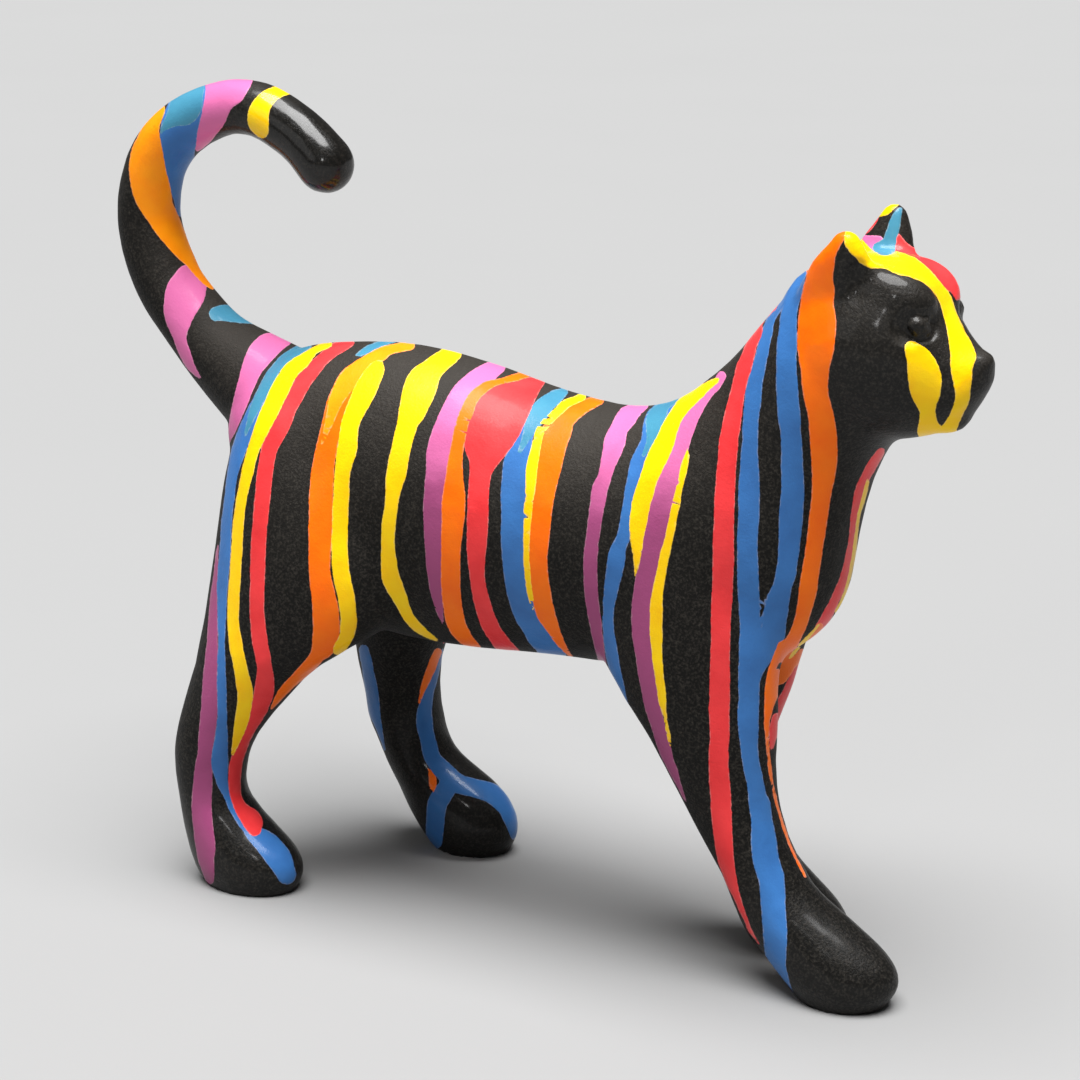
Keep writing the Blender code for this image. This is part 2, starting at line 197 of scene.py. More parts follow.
FLANK_RUNS = (
    Run(Paint.BLUE, rows=(
        (343, 304, 318), (350, 290, 309), (360, 275.5, 294), (370, 268, 281.5), (380, 262, 276),
        (390, 257, 271),
        (400, 252, 266), (410, 247, 261.5), (424, 240.5, 256.5),
        (449, 231, 247), (474, 227, 238), (499, 224, 234.5), (524, 221, 231.5), (549, 219.5, 231),
        (574, 217.5, 229),
        (598, 217, 227), (643, 218, 225), (667, 217, 225.5), (691, 217, 226.5), (714, 217.5, 227),
        (738, 214.5, 228),
        (750, 212, 228), (762, 211, 228), (773, 213.5, 228), (785, 217.5, 228.5), (797, 224, 232),
        (809, 229, 236.5),
        (820, 235, 242), (826, 239, 248),
    )),
    # Painted highlight: pale blue over the top of the blue run above, where the top light falls.
    Run(Paint.SKY, rows=(
        (343, 304, 318), (350, 290, 309), (360, 275.5, 294), (370, 268, 281.5), (380, 262, 276),
        (390, 257, 271),
        (400, 252.5, 265), (412, 248.5, 258), (424, 246, 252), (436, 243.5, 246.5),
    )),
    Run(Paint.YELLOW, rows=(
        (344, 318, 338), (350, 308.5, 322), (360, 293, 314), (370, 280.5, 302.5), (380, 275, 295),
        (390, 269.5, 290),
        (400, 265, 285), (410, 260.5, 280), (424, 255, 272.5),
        (449, 247, 260), (474, 241, 253), (499, 236, 247), (524, 233, 244), (549, 231, 242.5),
        (574, 229.5, 241),
        (598, 227.5, 239.5), (623, 227.5, 239), (648, 229.5, 243), (667, 233.5, 247), (691, 237, 253),
        (703, 237, 252),
        (714, 235.5, 250), (726, 233.5, 247), (738, 232.5, 242), (750, 231, 236), (756, 231, 233),
    )),
    Run(Paint.RED, rows=(
        (343, 338, 361), (350, 321, 346.5), (360, 313, 331), (370, 301.5, 323), (380, 294, 314),
        (390, 289, 308),
        (400, 284, 302), (410, 279, 296.5), (424, 271, 291.5),
        (449, 261, 278), (474, 257, 273), (499, 254.5, 270.5), (524, 252.5, 267.5), (549, 250.5, 266),
        (574, 250, 265),
        (598, 249.5, 264.5), (620, 250, 265), (644, 252.5, 268), (667, 257, 272.5), (679, 256, 274),
        (691, 254, 274),
        (703, 251.5, 270.5), (714, 248, 265.5), (726, 244, 258), (738, 238.5, 251.5), (750, 233.5, 247),
        (762, 230, 243),
        (773, 228.5, 241.5), (785, 228.5, 241), (797, 230, 242), (809, 233.5, 250), (820, 240, 264),
        (829, 247, 262),
    )),
    Run(Paint.SKY, points=(
        (398, 340.5, 1.5), (388, 342, 2.2), (377, 345, 3.2), (367, 350, 3.8), (359, 355, 2.8),
        (355.5, 358, 1.5),
    ), twin=False),
    # Painted light: the top of the orange run below, painted lighter where the top light falls on it.
    Run(Paint.AMBER, rows=(
        (345, 396, 424), (350, 376, 404), (355, 366, 395), (360, 357, 386), (365, 350.5, 376),
        (370, 345.5, 369),
        (380, 335.5, 360), (390, 331.5, 351), (402, 328, 343), (416, 326, 336.5), (430, 323.5, 330),
        (444, 320.5, 323.5),
    ), twin=False),
    Run(Paint.ORANGE, rows=(
        (345, 396, 424), (350, 376, 404), (355, 366, 395), (360, 357, 386), (365, 350.5, 376),
        (370, 345.5, 369),
        (380, 335.5, 361), (390, 331.5, 355), (400, 327.5, 351), (410, 324.5, 347), (424, 322, 344),
        (449, 315.5, 337), (474, 311, 334), (499, 309, 333), (524, 308.5, 333), (549, 308.5, 331),
        (574, 309, 330.5), (598, 311.5, 336), (623, 313, 340), (643, 311.5, 338), (655, 308, 327),
        (667, 298.5, 317.5),
        (679, 288, 303), (691, 277.5, 290), (703, 272, 278), (708, 270, 273),
    )),
    Run(Paint.YELLOW, rows=(
        (363, 376.5, 384), (370, 366.5, 385.5), (380, 359, 382), (390, 353, 378), (400, 349, 372),
        (410, 345, 366.5),
        (424, 341, 359.5), (449, 337, 357), (474, 334.5, 350.5), (499, 333, 349), (524, 332, 348),
        (549, 331.5, 347.5),
        (574, 333, 350), (598, 338, 355), (611, 340, 356), (623, 340, 357), (636, 339, 354), (648, 332, 347),
        (653, 333, 336),
    )),
    Run(Paint.YELLOW, rows=(
        (353, 439, 468), (357, 431, 464), (364, 422, 454), (372, 414, 446), (380, 406, 441.5),
        (390, 402, 437), (400, 400, 432),
        (412, 397.5, 426), (424, 396.5, 418.5), (449, 391, 411), (474, 386, 406), (499, 385, 399),
        (524, 382, 396),
        (549, 381, 395), (574, 381, 399), (586, 385, 404), (598, 392, 408), (611, 399, 412), (623, 406, 420),
        (633, 418, 431), (640, 434, 440),
    )),
    Run(Paint.PINK, rows=(
        (366, 486, 512), (375, 466, 503), (387, 452, 483), (399, 446, 470), (424, 435, 459), (449, 427, 454),
        (474, 425.5, 450), (499, 423.5, 447), (524, 423.5, 446), (549, 425, 445), (574, 427, 445),
        (598, 432, 444.5), (613, 437, 443.5), (624, 442.5, 444.5),
    )),
    Run(Paint.ORANGE, rows=(
        (374, 515, 538), (378, 503, 524), (382, 489, 507), (387, 477, 494), (399, 465, 480),
        (412, 459.5, 474), (424, 455.5, 469),
        (449, 450, 463.5),
        (474, 446, 463), (499, 442, 465), (524, 441.5, 464), (549, 441, 461), (574, 440.5, 460.5),
        (598, 442, 461),
        (623, 446, 466), (636, 454, 473), (646, 466, 481), (652, 478, 487),
    )),
    Run(Paint.RED, points=(
        (540, 381, 5), (527, 389, 12), (514, 398, 20), (503, 408, 26), (494, 421, 29), (489, 434, 26),
        (486, 446, 21), (484, 458, 15), (481, 470, 11.5), (479, 486, 10.5), (478, 510, 10.5), (477, 535, 10.5),
        (476.5, 555, 9.5), (477, 574, 7.5), (481, 598, 8), (489, 623, 8.5), (497, 637, 8), (508, 650, 8),
        (518, 657, 6),
    )),
    Run(Paint.BLUE, rows=(
        (392, 556, 572), (397, 543, 568), (405, 533, 558), (417, 523, 547), (429, 519, 537), (441, 514, 533),
        (453, 508.5, 533), (465, 503, 531), (490, 501, 529), (514, 501, 527), (538, 501, 526.5),
        (562, 502.5, 527.5),
        (587, 505.5, 532), (611, 512, 539), (623, 518, 546), (635, 524, 554), (645, 532, 562), (656, 543, 569),
    )),
    # Painted highlight: pale blue over the top of the blue run above, where the top light falls.
    Run(Paint.SKY, rows=(
        (392, 556, 572), (397, 543, 568), (405, 533, 558), (417, 524, 547), (429, 523, 536.5),
        (441, 520.5, 529),
        (453, 517, 521),
    )),
    Run(Paint.YELLOW, rows=(
        (397, 572, 592), (401, 563, 582), (405, 557, 573), (417, 546, 558), (429, 536, 547), (441, 532.5, 542),
        (465, 526.5, 538), (490, 525, 535), (514, 523.5, 532), (538, 523, 530), (562, 523.5, 529.5),
        (587, 526, 532),
        (601, 529, 534), (609, 532, 534.5),
    )),
    Run(Paint.ORANGE, rows=(
        (400, 586, 612), (406, 570, 600), (412, 560, 589), (420, 550, 579), (429, 542, 574), (441, 537, 569),
        (453, 535, 565), (465, 533, 562), (490, 530, 555.5), (514, 528, 552), (538, 526.5, 549.5),
        (562, 526, 547.5), (587, 530, 550),
        (611, 535, 555), (623, 542, 558.5), (635, 550, 562), (647, 559.5, 567.5), (656, 569, 573),
    )),
    Run(Paint.PINK, rows=(
        (405, 640, 655), (410, 622, 648), (417, 614, 640), (429, 609, 629), (441, 604, 626), (453, 602, 621),
        (465, 600, 615.5), (477, 597, 612), (490, 591.5, 608), (514, 588.5, 603), (538, 585.5, 599.5),
        (562, 583.5, 597.5), (587, 584, 597.5), (611, 587, 600), (635, 591.5, 603), (659, 598, 605.5),
        (671, 604, 607),
    )),
    Run(Paint.BLUE, rows=(
        (399, 672, 692), (405, 657, 679), (417, 645, 671), (429, 642, 664), (441, 640, 659), (453, 634.5, 652),
        (465, 629.5, 647), (477, 627, 643), (490, 625, 639), (514, 621, 634), (538, 616, 630),
        (550, 609.5, 626),
        (562, 607, 625), (587, 604, 619), (611, 603, 614), (635, 603, 615), (659, 606.5, 619), (671, 610, 621),
        (684, 614, 624), (700, 622, 627.5), (710, 629, 632),
    )),
    # Painted highlight: pale blue over the top of the blue run above, where the top light falls.
    Run(Paint.SKY, rows=(
        (399, 672, 688), (405, 657, 674), (417, 646, 667), (429, 646, 661), (441, 646, 655), (455, 641.5, 646),
    )),
    Run(Paint.YELLOW, rows=(
        (380, 712, 722), (388, 696, 713), (393, 689, 708), (405, 673, 694), (417, 667, 684), (429, 660, 679),
        (441, 655, 675.5), (453, 648, 671), (465, 643, 665), (477, 639.5, 659), (490, 635.5, 655),
        (502, 632, 651.5),
        (514, 630, 648.5), (526, 629, 646.5), (538, 630, 643.5), (550, 632, 642), (562, 633.5, 640),
        (577, 635, 637),
    )),
    Run(Paint.PINK, rows=(
        (376, 716, 727), (388, 709, 720), (393, 704, 715.5), (405, 691, 707), (417, 681, 700), (429, 676, 695),
        (441, 672, 691), (453, 667, 688), (465, 662, 684), (477, 657, 682), (490, 653, 679), (502, 649.5, 676),
        (514, 646.5, 673), (526, 644.5, 670.5), (538, 641, 668), (550, 640, 664.5), (562, 639, 662),
        (575, 636, 659.5), (587, 634, 656.5), (611, 631, 653), (635, 632, 653.5), (659, 636, 656),
        (671, 637.5, 654.5),
        (688, 640.5, 657.5), (713, 646.5, 662.5), (737, 654, 668.5), (749, 658.5, 671.5), (761, 663.5, 674),
        (773, 669.5, 679), (785, 676.5, 681.5), (801, 684.5, 686.5),
    )),
    Run(Paint.YELLOW, rows=(
        (444, 688.5, 690), (453, 685.5, 689.5), (465, 681, 688), (477, 678.5, 685.5), (490, 675.5, 682),
        (502, 672.5, 680.5), (514, 669.5, 678), (538, 664.5, 673.5), (550, 661, 671), (562, 658.5, 668),
        (587, 653, 664), (599, 650.5, 663), (611, 649.5, 663), (635, 650, 662.5), (659, 652.5, 662.5),
        (684, 656, 665),
        (700, 658, 666), (713, 662, 666.5), (737, 667, 670.5), (747, 670, 671.5),
    )),
    Run(Paint.RED, rows=(
        (300, 776, 786), (320, 759, 765), (332, 752, 763), (344, 746, 758), (356, 741, 755), (368, 736, 752),
        (381, 733, 747.5), (393, 730, 745), (405, 727, 743.5), (417, 724, 742), (429, 721.5, 740),
        (441, 719, 738.5),
        (465, 717, 736.5), (490, 715, 735), (514, 714, 734.5), (538, 713, 734), (562, 712.5, 734),
        (587, 712, 733),
        (611, 711, 731.5), (635, 711, 730.5), (659, 710, 730), (689, 709.5, 730), (713, 709, 729.5),
        (737, 710, 729.5),
        (761, 708.5, 728.5), (785, 709.5, 730), (810, 711, 731.5), (834, 713.5, 732.5), (858, 717, 734),
        (870, 721, 735.5), (882, 725.5, 737.5), (894, 731.5, 740), (906, 737, 743.5), (919, 743, 748),
        (931, 748.5, 752.5),
        (944, 758, 760),
    )),
    Run(Paint.BLUE, rows=(
        (292, 784, 792), (306, 774, 784), (320, 766, 775), (332, 761, 773), (344, 757.5, 770), (356, 755, 768),
        (368, 751, 765.5), (381, 747.5, 763), (393, 745, 762), (405, 744, 760.5), (417, 743, 759),
        (441, 742, 758),
        (465, 740, 758.5), (490, 738.5, 759.5), (514, 738, 759), (538, 737.5, 758), (562, 737, 758),
        (587, 737.5, 759),
        (611, 739, 759.5), (635, 739.5, 761), (647, 739, 763), (659, 738.5, 762), (671, 738, 761),
        (684, 738, 760),
        (700, 738.5, 759), (713, 737.5, 759), (737, 739, 758), (761, 742, 759.5), (785, 747, 764.5),
        (797, 748, 767),
        (806, 749, 771), (822, 751, 773), (846, 751, 777), (858, 752, 779), (870, 755, 782), (882, 759, 785),
        (906, 761, 785.5), (931, 763, 787), (955, 765.5, 786), (967, 770, 786), (979, 777.5, 789),
        (991, 786, 793),
        (1001, 796, 800),
    )),
    Run(Paint.BLUE, rows=(
        (268, 798, 808), (290, 788, 803), (305, 783, 799), (320, 780, 797), (344, 777, 797), (368, 776, 796.5),
        (393, 776.5, 798.5), (417, 777.5, 800.5), (429, 780, 801), (441, 781, 802), (465, 781, 803),
        (490, 781, 804),
        (514, 779, 803), (538, 779, 800.5), (550, 778, 799.5), (562, 777, 797.5), (575, 775, 796),
        (587, 772, 792.5),
        (599, 767, 790), (611, 764, 788.5), (623, 762, 786), (635, 760.5, 785), (647, 758, 780),
        (659, 752, 771.5),
        (671, 748, 764),
    )),
    Run(Paint.ORANGE, rows=(
        (289, 803, 835), (305, 800, 834), (320, 798, 836), (332, 797.5, 836), (344, 797, 834.5),
        (356, 798.5, 832), (368, 800.5, 829.5),
        (381, 801.5, 828), (393, 803, 828.5), (405, 805.5, 831), (417, 808, 834), (429, 809, 836),
        (441, 810, 837),
        (465, 811.5, 837), (490, 811.5, 832), (514, 809.5, 828.5), (538, 807, 824.5), (562, 803.5, 821),
        (587, 799, 817.5),
        (599, 798, 815), (611, 796, 811.5), (623, 793, 808), (635, 788.5, 803), (647, 782, 797),
    )),
    Run(Paint.ORANGE, rows=(
        (640, 785.5, 801), (647, 782, 797), (656, 777.5, 794), (664, 774, 796), (672, 771, 791),
        (682, 768.5, 785.5), (692, 766.5, 780), (702, 765.5, 775.5), (712, 765, 772),
        (722, 765, 769.5), (735, 765, 768.5),
    ), twin=False),
    Run(Paint.ORANGE, points=(
        (783, 646, 6), (778, 656, 4.5), (773.5, 666, 3.5), (770, 676, 3), (767.5, 690, 2.6), (766.5, 706, 2.2),
        (766.5, 722, 2.2), (767.5, 742, 1.8), (771, 776, 1.6), (778.5, 810, 1.6), (790.5, 846, 1.5),
        (806, 878, 1.2),
    ), twin=False),
)

CHEST_RUNS = (
    Run(Paint.RED, rows=(
        (452, 876, 886), (465, 866, 878), (477, 861, 871), (490, 855, 865), (514, 851, 859), (538, 848.5, 857),
        (562, 844, 853), (587, 836, 846), (611, 824, 835), (622, 817.5, 829), (628, 814, 824),
    ), twin=False),
    Run(Paint.ORANGE, rows=(
        (626, 816, 824), (635, 809.5, 819), (645, 802.5, 812.5), (655, 795, 807), (664, 788, 798),
    ), twin=False),
    Run(Paint.YELLOW, points=(
        (868, 481, 2), (864, 497, 2), (858, 520, 1.8), (853, 560, 1.8), (846, 590, 1.8), (836, 612, 1.5),
    ), twin=False),
    Run(Paint.YELLOW, points=((819, 625, 1.2), (808, 637, 1.8), (798, 648, 1.8), (789, 659, 1.2)), twin=False),
    Run(Paint.RED, rows=(
        (667, 795, 803), (680, 788, 799), (690, 783, 795), (700, 778, 791), (710, 774.5, 787),
        (720, 771.5, 783),
        (730, 769.5, 779.5), (740, 769.5, 776), (750, 770, 773),
    ), twin=False),
)

HEAD_PATCHES = (
    Patch(Paint.ORANGE, (
        (802, 318), (802, 300), (804, 288), (806, 276), (807, 262), (810, 250), (817, 238), (828, 224),
        (838, 216),
        (847, 216), (849, 226), (848, 233), (845, 238), (843, 242), (840, 247), (837, 252), (835, 258),
        (834, 266),
        (833, 276), (833, 290), (833, 303), (833, 318), (818, 322),
    )),
    Patch(Paint.YELLOW, (
        (846, 230), (847, 214), (856, 216), (861, 226), (862, 238), (866, 243), (870, 248), (875, 252),
        (880, 254.5),
        (885, 255.5), (890, 254.5), (895, 252.5), (900, 252), (905, 253.5), (910, 255.5), (915, 257.5),
        (920, 261.5),
        (925, 265.5), (930, 270), (935, 275), (940, 281), (944, 286), (948, 290.5), (951, 296), (953, 301),
        (955, 307), (957.5, 314), (960, 320), (963, 327), (966, 333), (970, 340), (973, 346), (975.5, 352),
        (976, 358),
        (974, 364), (972.5, 370), (972, 378), (971, 388), (970, 398), (968, 405), (965, 411), (962, 417),
        (959, 423),
        (957, 429), (956, 438), (945, 440), (938, 438), (940, 428), (945, 422), (950, 415), (953, 408),
        (955, 400),
        (955.5, 393), (954, 387), (953, 380), (951, 372), (950.5, 365), (950.5, 357), (949.5, 349),
        (948.5, 341),
        (947, 333), (946, 326), (944, 318), (942, 310), (940, 303), (937, 297), (933, 291), (928, 286),
        (922, 282),
        (915, 279), (908, 276.5), (900, 275), (894, 273), (888, 270), (883, 268.5), (876, 268.5), (870, 268),
        (865, 265.5), (860, 263), (857, 259), (853, 255), (850, 252), (847, 248), (844, 244), (844, 238),
    )),
    Patch(Paint.YELLOW, (
        (905, 345), (907, 342), (911, 341), (916, 342), (921, 345), (926, 348), (931, 353), (935, 359),
        (939, 367),
        (941, 374), (942, 381), (941, 389), (940, 397), (937, 404), (935, 411), (936, 418), (939, 424),
        (942, 428),
        (947, 434), (944, 441), (930, 442), (920, 440), (917, 432), (918, 426), (920, 419), (920.5, 413),
        (918, 408),
        (914, 402), (911, 396), (909.5, 388), (908.5, 380), (907.5, 370), (906.5, 360), (905, 352),
    )),
    Patch(Paint.RED, (
        (899, 233), (902, 237.5), (906, 242), (911, 246), (918, 248), (932, 250), (950, 262), (962, 278),
        (966, 292),
        (961, 300), (956, 300), (951, 292), (944, 290), (936, 282), (928, 274), (919, 266), (909, 260),
        (899, 256),
        (895, 252), (896, 245), (897, 238),
    )),
    # Painted highlight: the far ear's blue, painted pale where light falls on it.
    Patch(Paint.SKY, (
        (895, 211), (899, 207), (903, 208), (901.5, 218), (900.5, 226), (898.5, 233), (897, 239), (897, 245),
        (896, 252), (888, 257), (876, 255), (872, 248), (874, 244), (879, 241.5), (883, 239), (886, 231),
        (889, 222),
        (892, 215),
    )),
    Patch(Paint.PINK, (
        (859, 238), (862, 234.5), (868, 235.5), (874, 235.5), (881, 236), (884, 240), (879, 246), (876, 252),
        (870, 250), (864, 243),
    )),
    Patch(Paint.PINK, ((893, 240), (897, 234), (900, 236), (899, 244), (898, 253), (894, 252), (895, 246))),
    Patch(Paint.RED, (
        (857, 237), (860, 228), (868, 219), (875, 213), (879, 217), (876, 224), (871, 230), (866, 234),
        (862, 237),
    )),
    Patch(Paint.YELLOW, (
        (879, 217), (877, 211), (884, 203), (893, 198), (900, 199), (899, 205), (895, 208), (891, 212),
        (886, 215.5),
    )),
)

LEG_RUNS = (
    Run(Paint.PINK, rows=(
        (545, 216, 218.5), (575, 213, 218), (598, 210, 217.5), (620, 208.5, 217.5), (644, 206.5, 218),
        (667, 204, 217.5), (691, 202, 217.5),
        (714, 200.5, 217.5), (738, 198, 215), (750, 198, 213), (762, 195.5, 212), (773, 194, 212.5),
        (785, 193, 212.5),
        (809, 191.5, 212), (832, 193.5, 213.5), (844, 195, 215.5), (856, 197, 214.5), (868, 201, 214.5),
        (880, 205.5, 214.5),
    )),
    Run(Paint.BLUE, points=(
        (246, 828, 4), (254, 834, 8), (263, 840, 11), (273, 850, 12.5), (281, 862, 12), (287, 875, 9.5),
    )),
    Run(Paint.BLUE, rows=(
        (650, 358.5, 369), (667, 361.5, 373), (691, 364.5, 378), (714, 369.5, 380.5), (738, 379.5, 383.5),
        (750, 383.5, 385.5),
    ), twin=False),
    Run(Paint.BLUE, rows=(
        (650, 441, 444), (667, 435.5, 440.5), (679, 430, 438), (691, 423.5, 434.5), (703, 419.5, 432.5),
        (714, 416.5, 432),
        (726, 416.5, 433), (738, 419.5, 435.5), (750, 422.5, 439),
    ), twin=False),
    Run(Paint.BLUE, points=(
        (430, 750, 8), (434, 760, 8.5), (444, 771, 9.5), (458, 783, 9.5), (474, 788, 9), (491, 793, 10),
        (504, 804, 9.5),
        (511, 820, 7), (514, 836, 3.5),
    ), twin=False),
    Run(Paint.BLUE, points=(
        (452, 782, 9), (444, 792, 10), (437, 805, 10), (435.5, 821, 9), (434.5, 835, 8.5), (435, 842, 7),
    ), twin=False),
    Run(Paint.ORANGE, rows=(
        (652, 433.5, 442.5), (657, 431, 440), (667, 427, 436.5), (679, 422.5, 431), (691, 420, 425.5),
        (703, 417.5, 420.5),
    ), twin=False),
    Run(Paint.ORANGE, rows=(
        (769, 427, 430), (775, 428, 434), (780, 428.5, 437), (786, 429, 436.5), (792, 430, 433.5),
    ), twin=False),
)


@dataclass(frozen=True)
class Viewpoint:
    """Where the picture is taken from."""

    place: tuple[float, float, float] = (0.5902, -0.980, 0.4908)
    azimuth: float = 30.7
    elevation: float = 16.0
    focal_pixels: float = 2851.0
    picture: float = 1080.0
    sensor: float = 36.0

    def axes(self) -> tuple[Vector, Vector, Vector]:
        """The picture's right and up directions, and the direction of view."""
        a, e = math.radians(self.azimuth), math.radians(self.elevation)
        right = Vector((math.cos(a), math.sin(a), 0))
        ahead = Vector((-math.sin(a) * math.cos(e), math.cos(a) * math.cos(e), -math.sin(e)))
        return right, right.cross(ahead), ahead

    def ray(self, across: float, down: float) -> tuple[Vector, Vector]:
        """The line of sight through a point of the picture.

        Args:
            across: pixels from the picture's left edge.
            down: pixels from its top edge.

        Returns:
            Where the line starts, and its direction.
        """
        right, up, ahead = self.axes()
        half = self.picture / 2
        sideways, upward = (across - half) / self.focal_pixels, (half - down) / self.focal_pixels
        toward = ahead + right * sideways + up * upward
        return Vector(self.place), toward.normalized()

    def picture_of(self, places: np.ndarray) -> tuple[np.ndarray, np.ndarray]:
        """Where points show in the picture.

        Args:
            places: the points.

        Returns:
            Their places in pixels, and the size of a pixel at each point in metres.
        """
        right, up, ahead = (np.array(axis) for axis in self.axes())
        away = places - self.place
        depth = away @ ahead
        half = self.picture / 2
        across = half + away @ right / depth * self.focal_pixels
        down = half - away @ up / depth * self.focal_pixels
        return np.column_stack([across, down]), depth / self.focal_pixels

    def build(self) -> bpy.types.Object:
        """Makes the scene's camera."""
        data = bpy.data.cameras.new("camera")
        data.sensor_width = self.sensor
        data.lens = self.focal_pixels / self.picture * self.sensor
        camera = bpy.data.objects.new("camera", data)
        camera.location = self.place
        camera.rotation_euler = (math.radians(90 - self.elevation), 0, math.radians(self.azimuth))
        bpy.context.scene.collection.objects.link(camera)
        bpy.context.scene.camera = camera
        return camera


class Value:
    """A number in a shader, which Python arithmetic works on."""

    def __init__(self, shader: "Shader", socket: bpy.types.NodeSocket) -> None:
        """Wraps a socket of the shader."""
        self.shader = shader
        self.socket = socket

    def __add__(self, other: Any) -> "Value":
        """This value and another, added."""
        return self.shader.maths("ADD", self, other)

    __radd__ = __add__

    def __sub__(self, other: Any) -> "Value":
        """This value less another."""
        return self.shader.maths("SUBTRACT", self, other)

    def __rsub__(self, other: Any) -> "Value":
        """Another value less this one."""
        return self.shader.maths("SUBTRACT", other, self)

    def __mul__(self, other: Any) -> "Value":
        """This value times another."""
        return self.shader.maths("MULTIPLY", self, other)

    __rmul__ = __mul__

    def at_most_one(self) -> "Value":
        """This value, kept between 0 and 1."""
        return self.shader.maths("ADD", self, 0.0, clamp=True)

    def or_more(self, other: Any) -> "Value":
        """The larger of this value and another."""
        return self.shader.maths("MAXIMUM", self, other)


class Shader:
    """A material's nodes, built in code."""

    def __init__(self, name: str) -> None:
        """Starts an empty material of that name."""
        self.material = bpy.data.materials.new(name)
        self.material.use_nodes = True
        self.tree = self.material.node_tree
        self.tree.nodes.clear()

    def add(self, kind: str, settings: dict[str, Any], sockets: dict[Any, Any]) -> bpy.types.Node:
        """Adds a node.

        Args:
            kind: the node's type.
            settings: its properties, which are set first.
            sockets: values or links of its inputs, by name or number.

        Returns:
            The node.
        """
        node = self.tree.nodes.new(kind)
        for name, value in settings.items():
            setattr(node, name, value)
        for key, value in sockets.items():
            source = value.socket if isinstance(value, Value) else value
            if isinstance(source, bpy.types.NodeSocket):
                self.tree.links.new(source, node.inputs[key])
            else:
                node.inputs[key].default_value = source
        return node

    def maths(self, operation: str, one: Any, two: Any, clamp: bool = False) -> Value:
        """A sum of two values, as a Math node."""
        node = self.add("ShaderNodeMath", {"operation": operation, "use_clamp": clamp}, {0: one, 1: two})
        return Value(self, node.outputs[0])

    def attribute(self, name: str) -> Value:
        """A number that the mesh carries at each point."""
        node = self.add("ShaderNodeAttribute", {"attribute_name": name}, {})
        return Value(self, node.outputs["Fac"])

    def noise(self, where: Any, scale: float, detail: float, roughness: float = 0.5) -> Value:
        """Noise between about 0 and 1, in patches of about 1 / scale metres."""
        sockets = {"Vector": where, "Scale": scale, "Detail": detail, "Roughness": roughness}
        return Value(self, self.add("ShaderNodeTexNoise", {}, sockets).outputs["Fac"])

    def blend(self, share: Any, one: Any, two: Any) -> bpy.types.NodeSocket:
        """A colour between two others: share 0 gives the first."""
        node = self.add("ShaderNodeMix", {"data_type": "RGBA"}, {0: share, 6: one, 7: two})
        return node.outputs[2]

    def finish(self, sockets: dict[str, Any]) -> bpy.types.Material:
        """Adds the surface and the output, and gives back the material."""
        surface = self.add("ShaderNodeBsdfPrincipled", {}, sockets)
        self.add("ShaderNodeOutputMaterial", {}, {"Surface": surface.outputs[0]})
        return self.material


Colour = tuple[float, float, float, float]


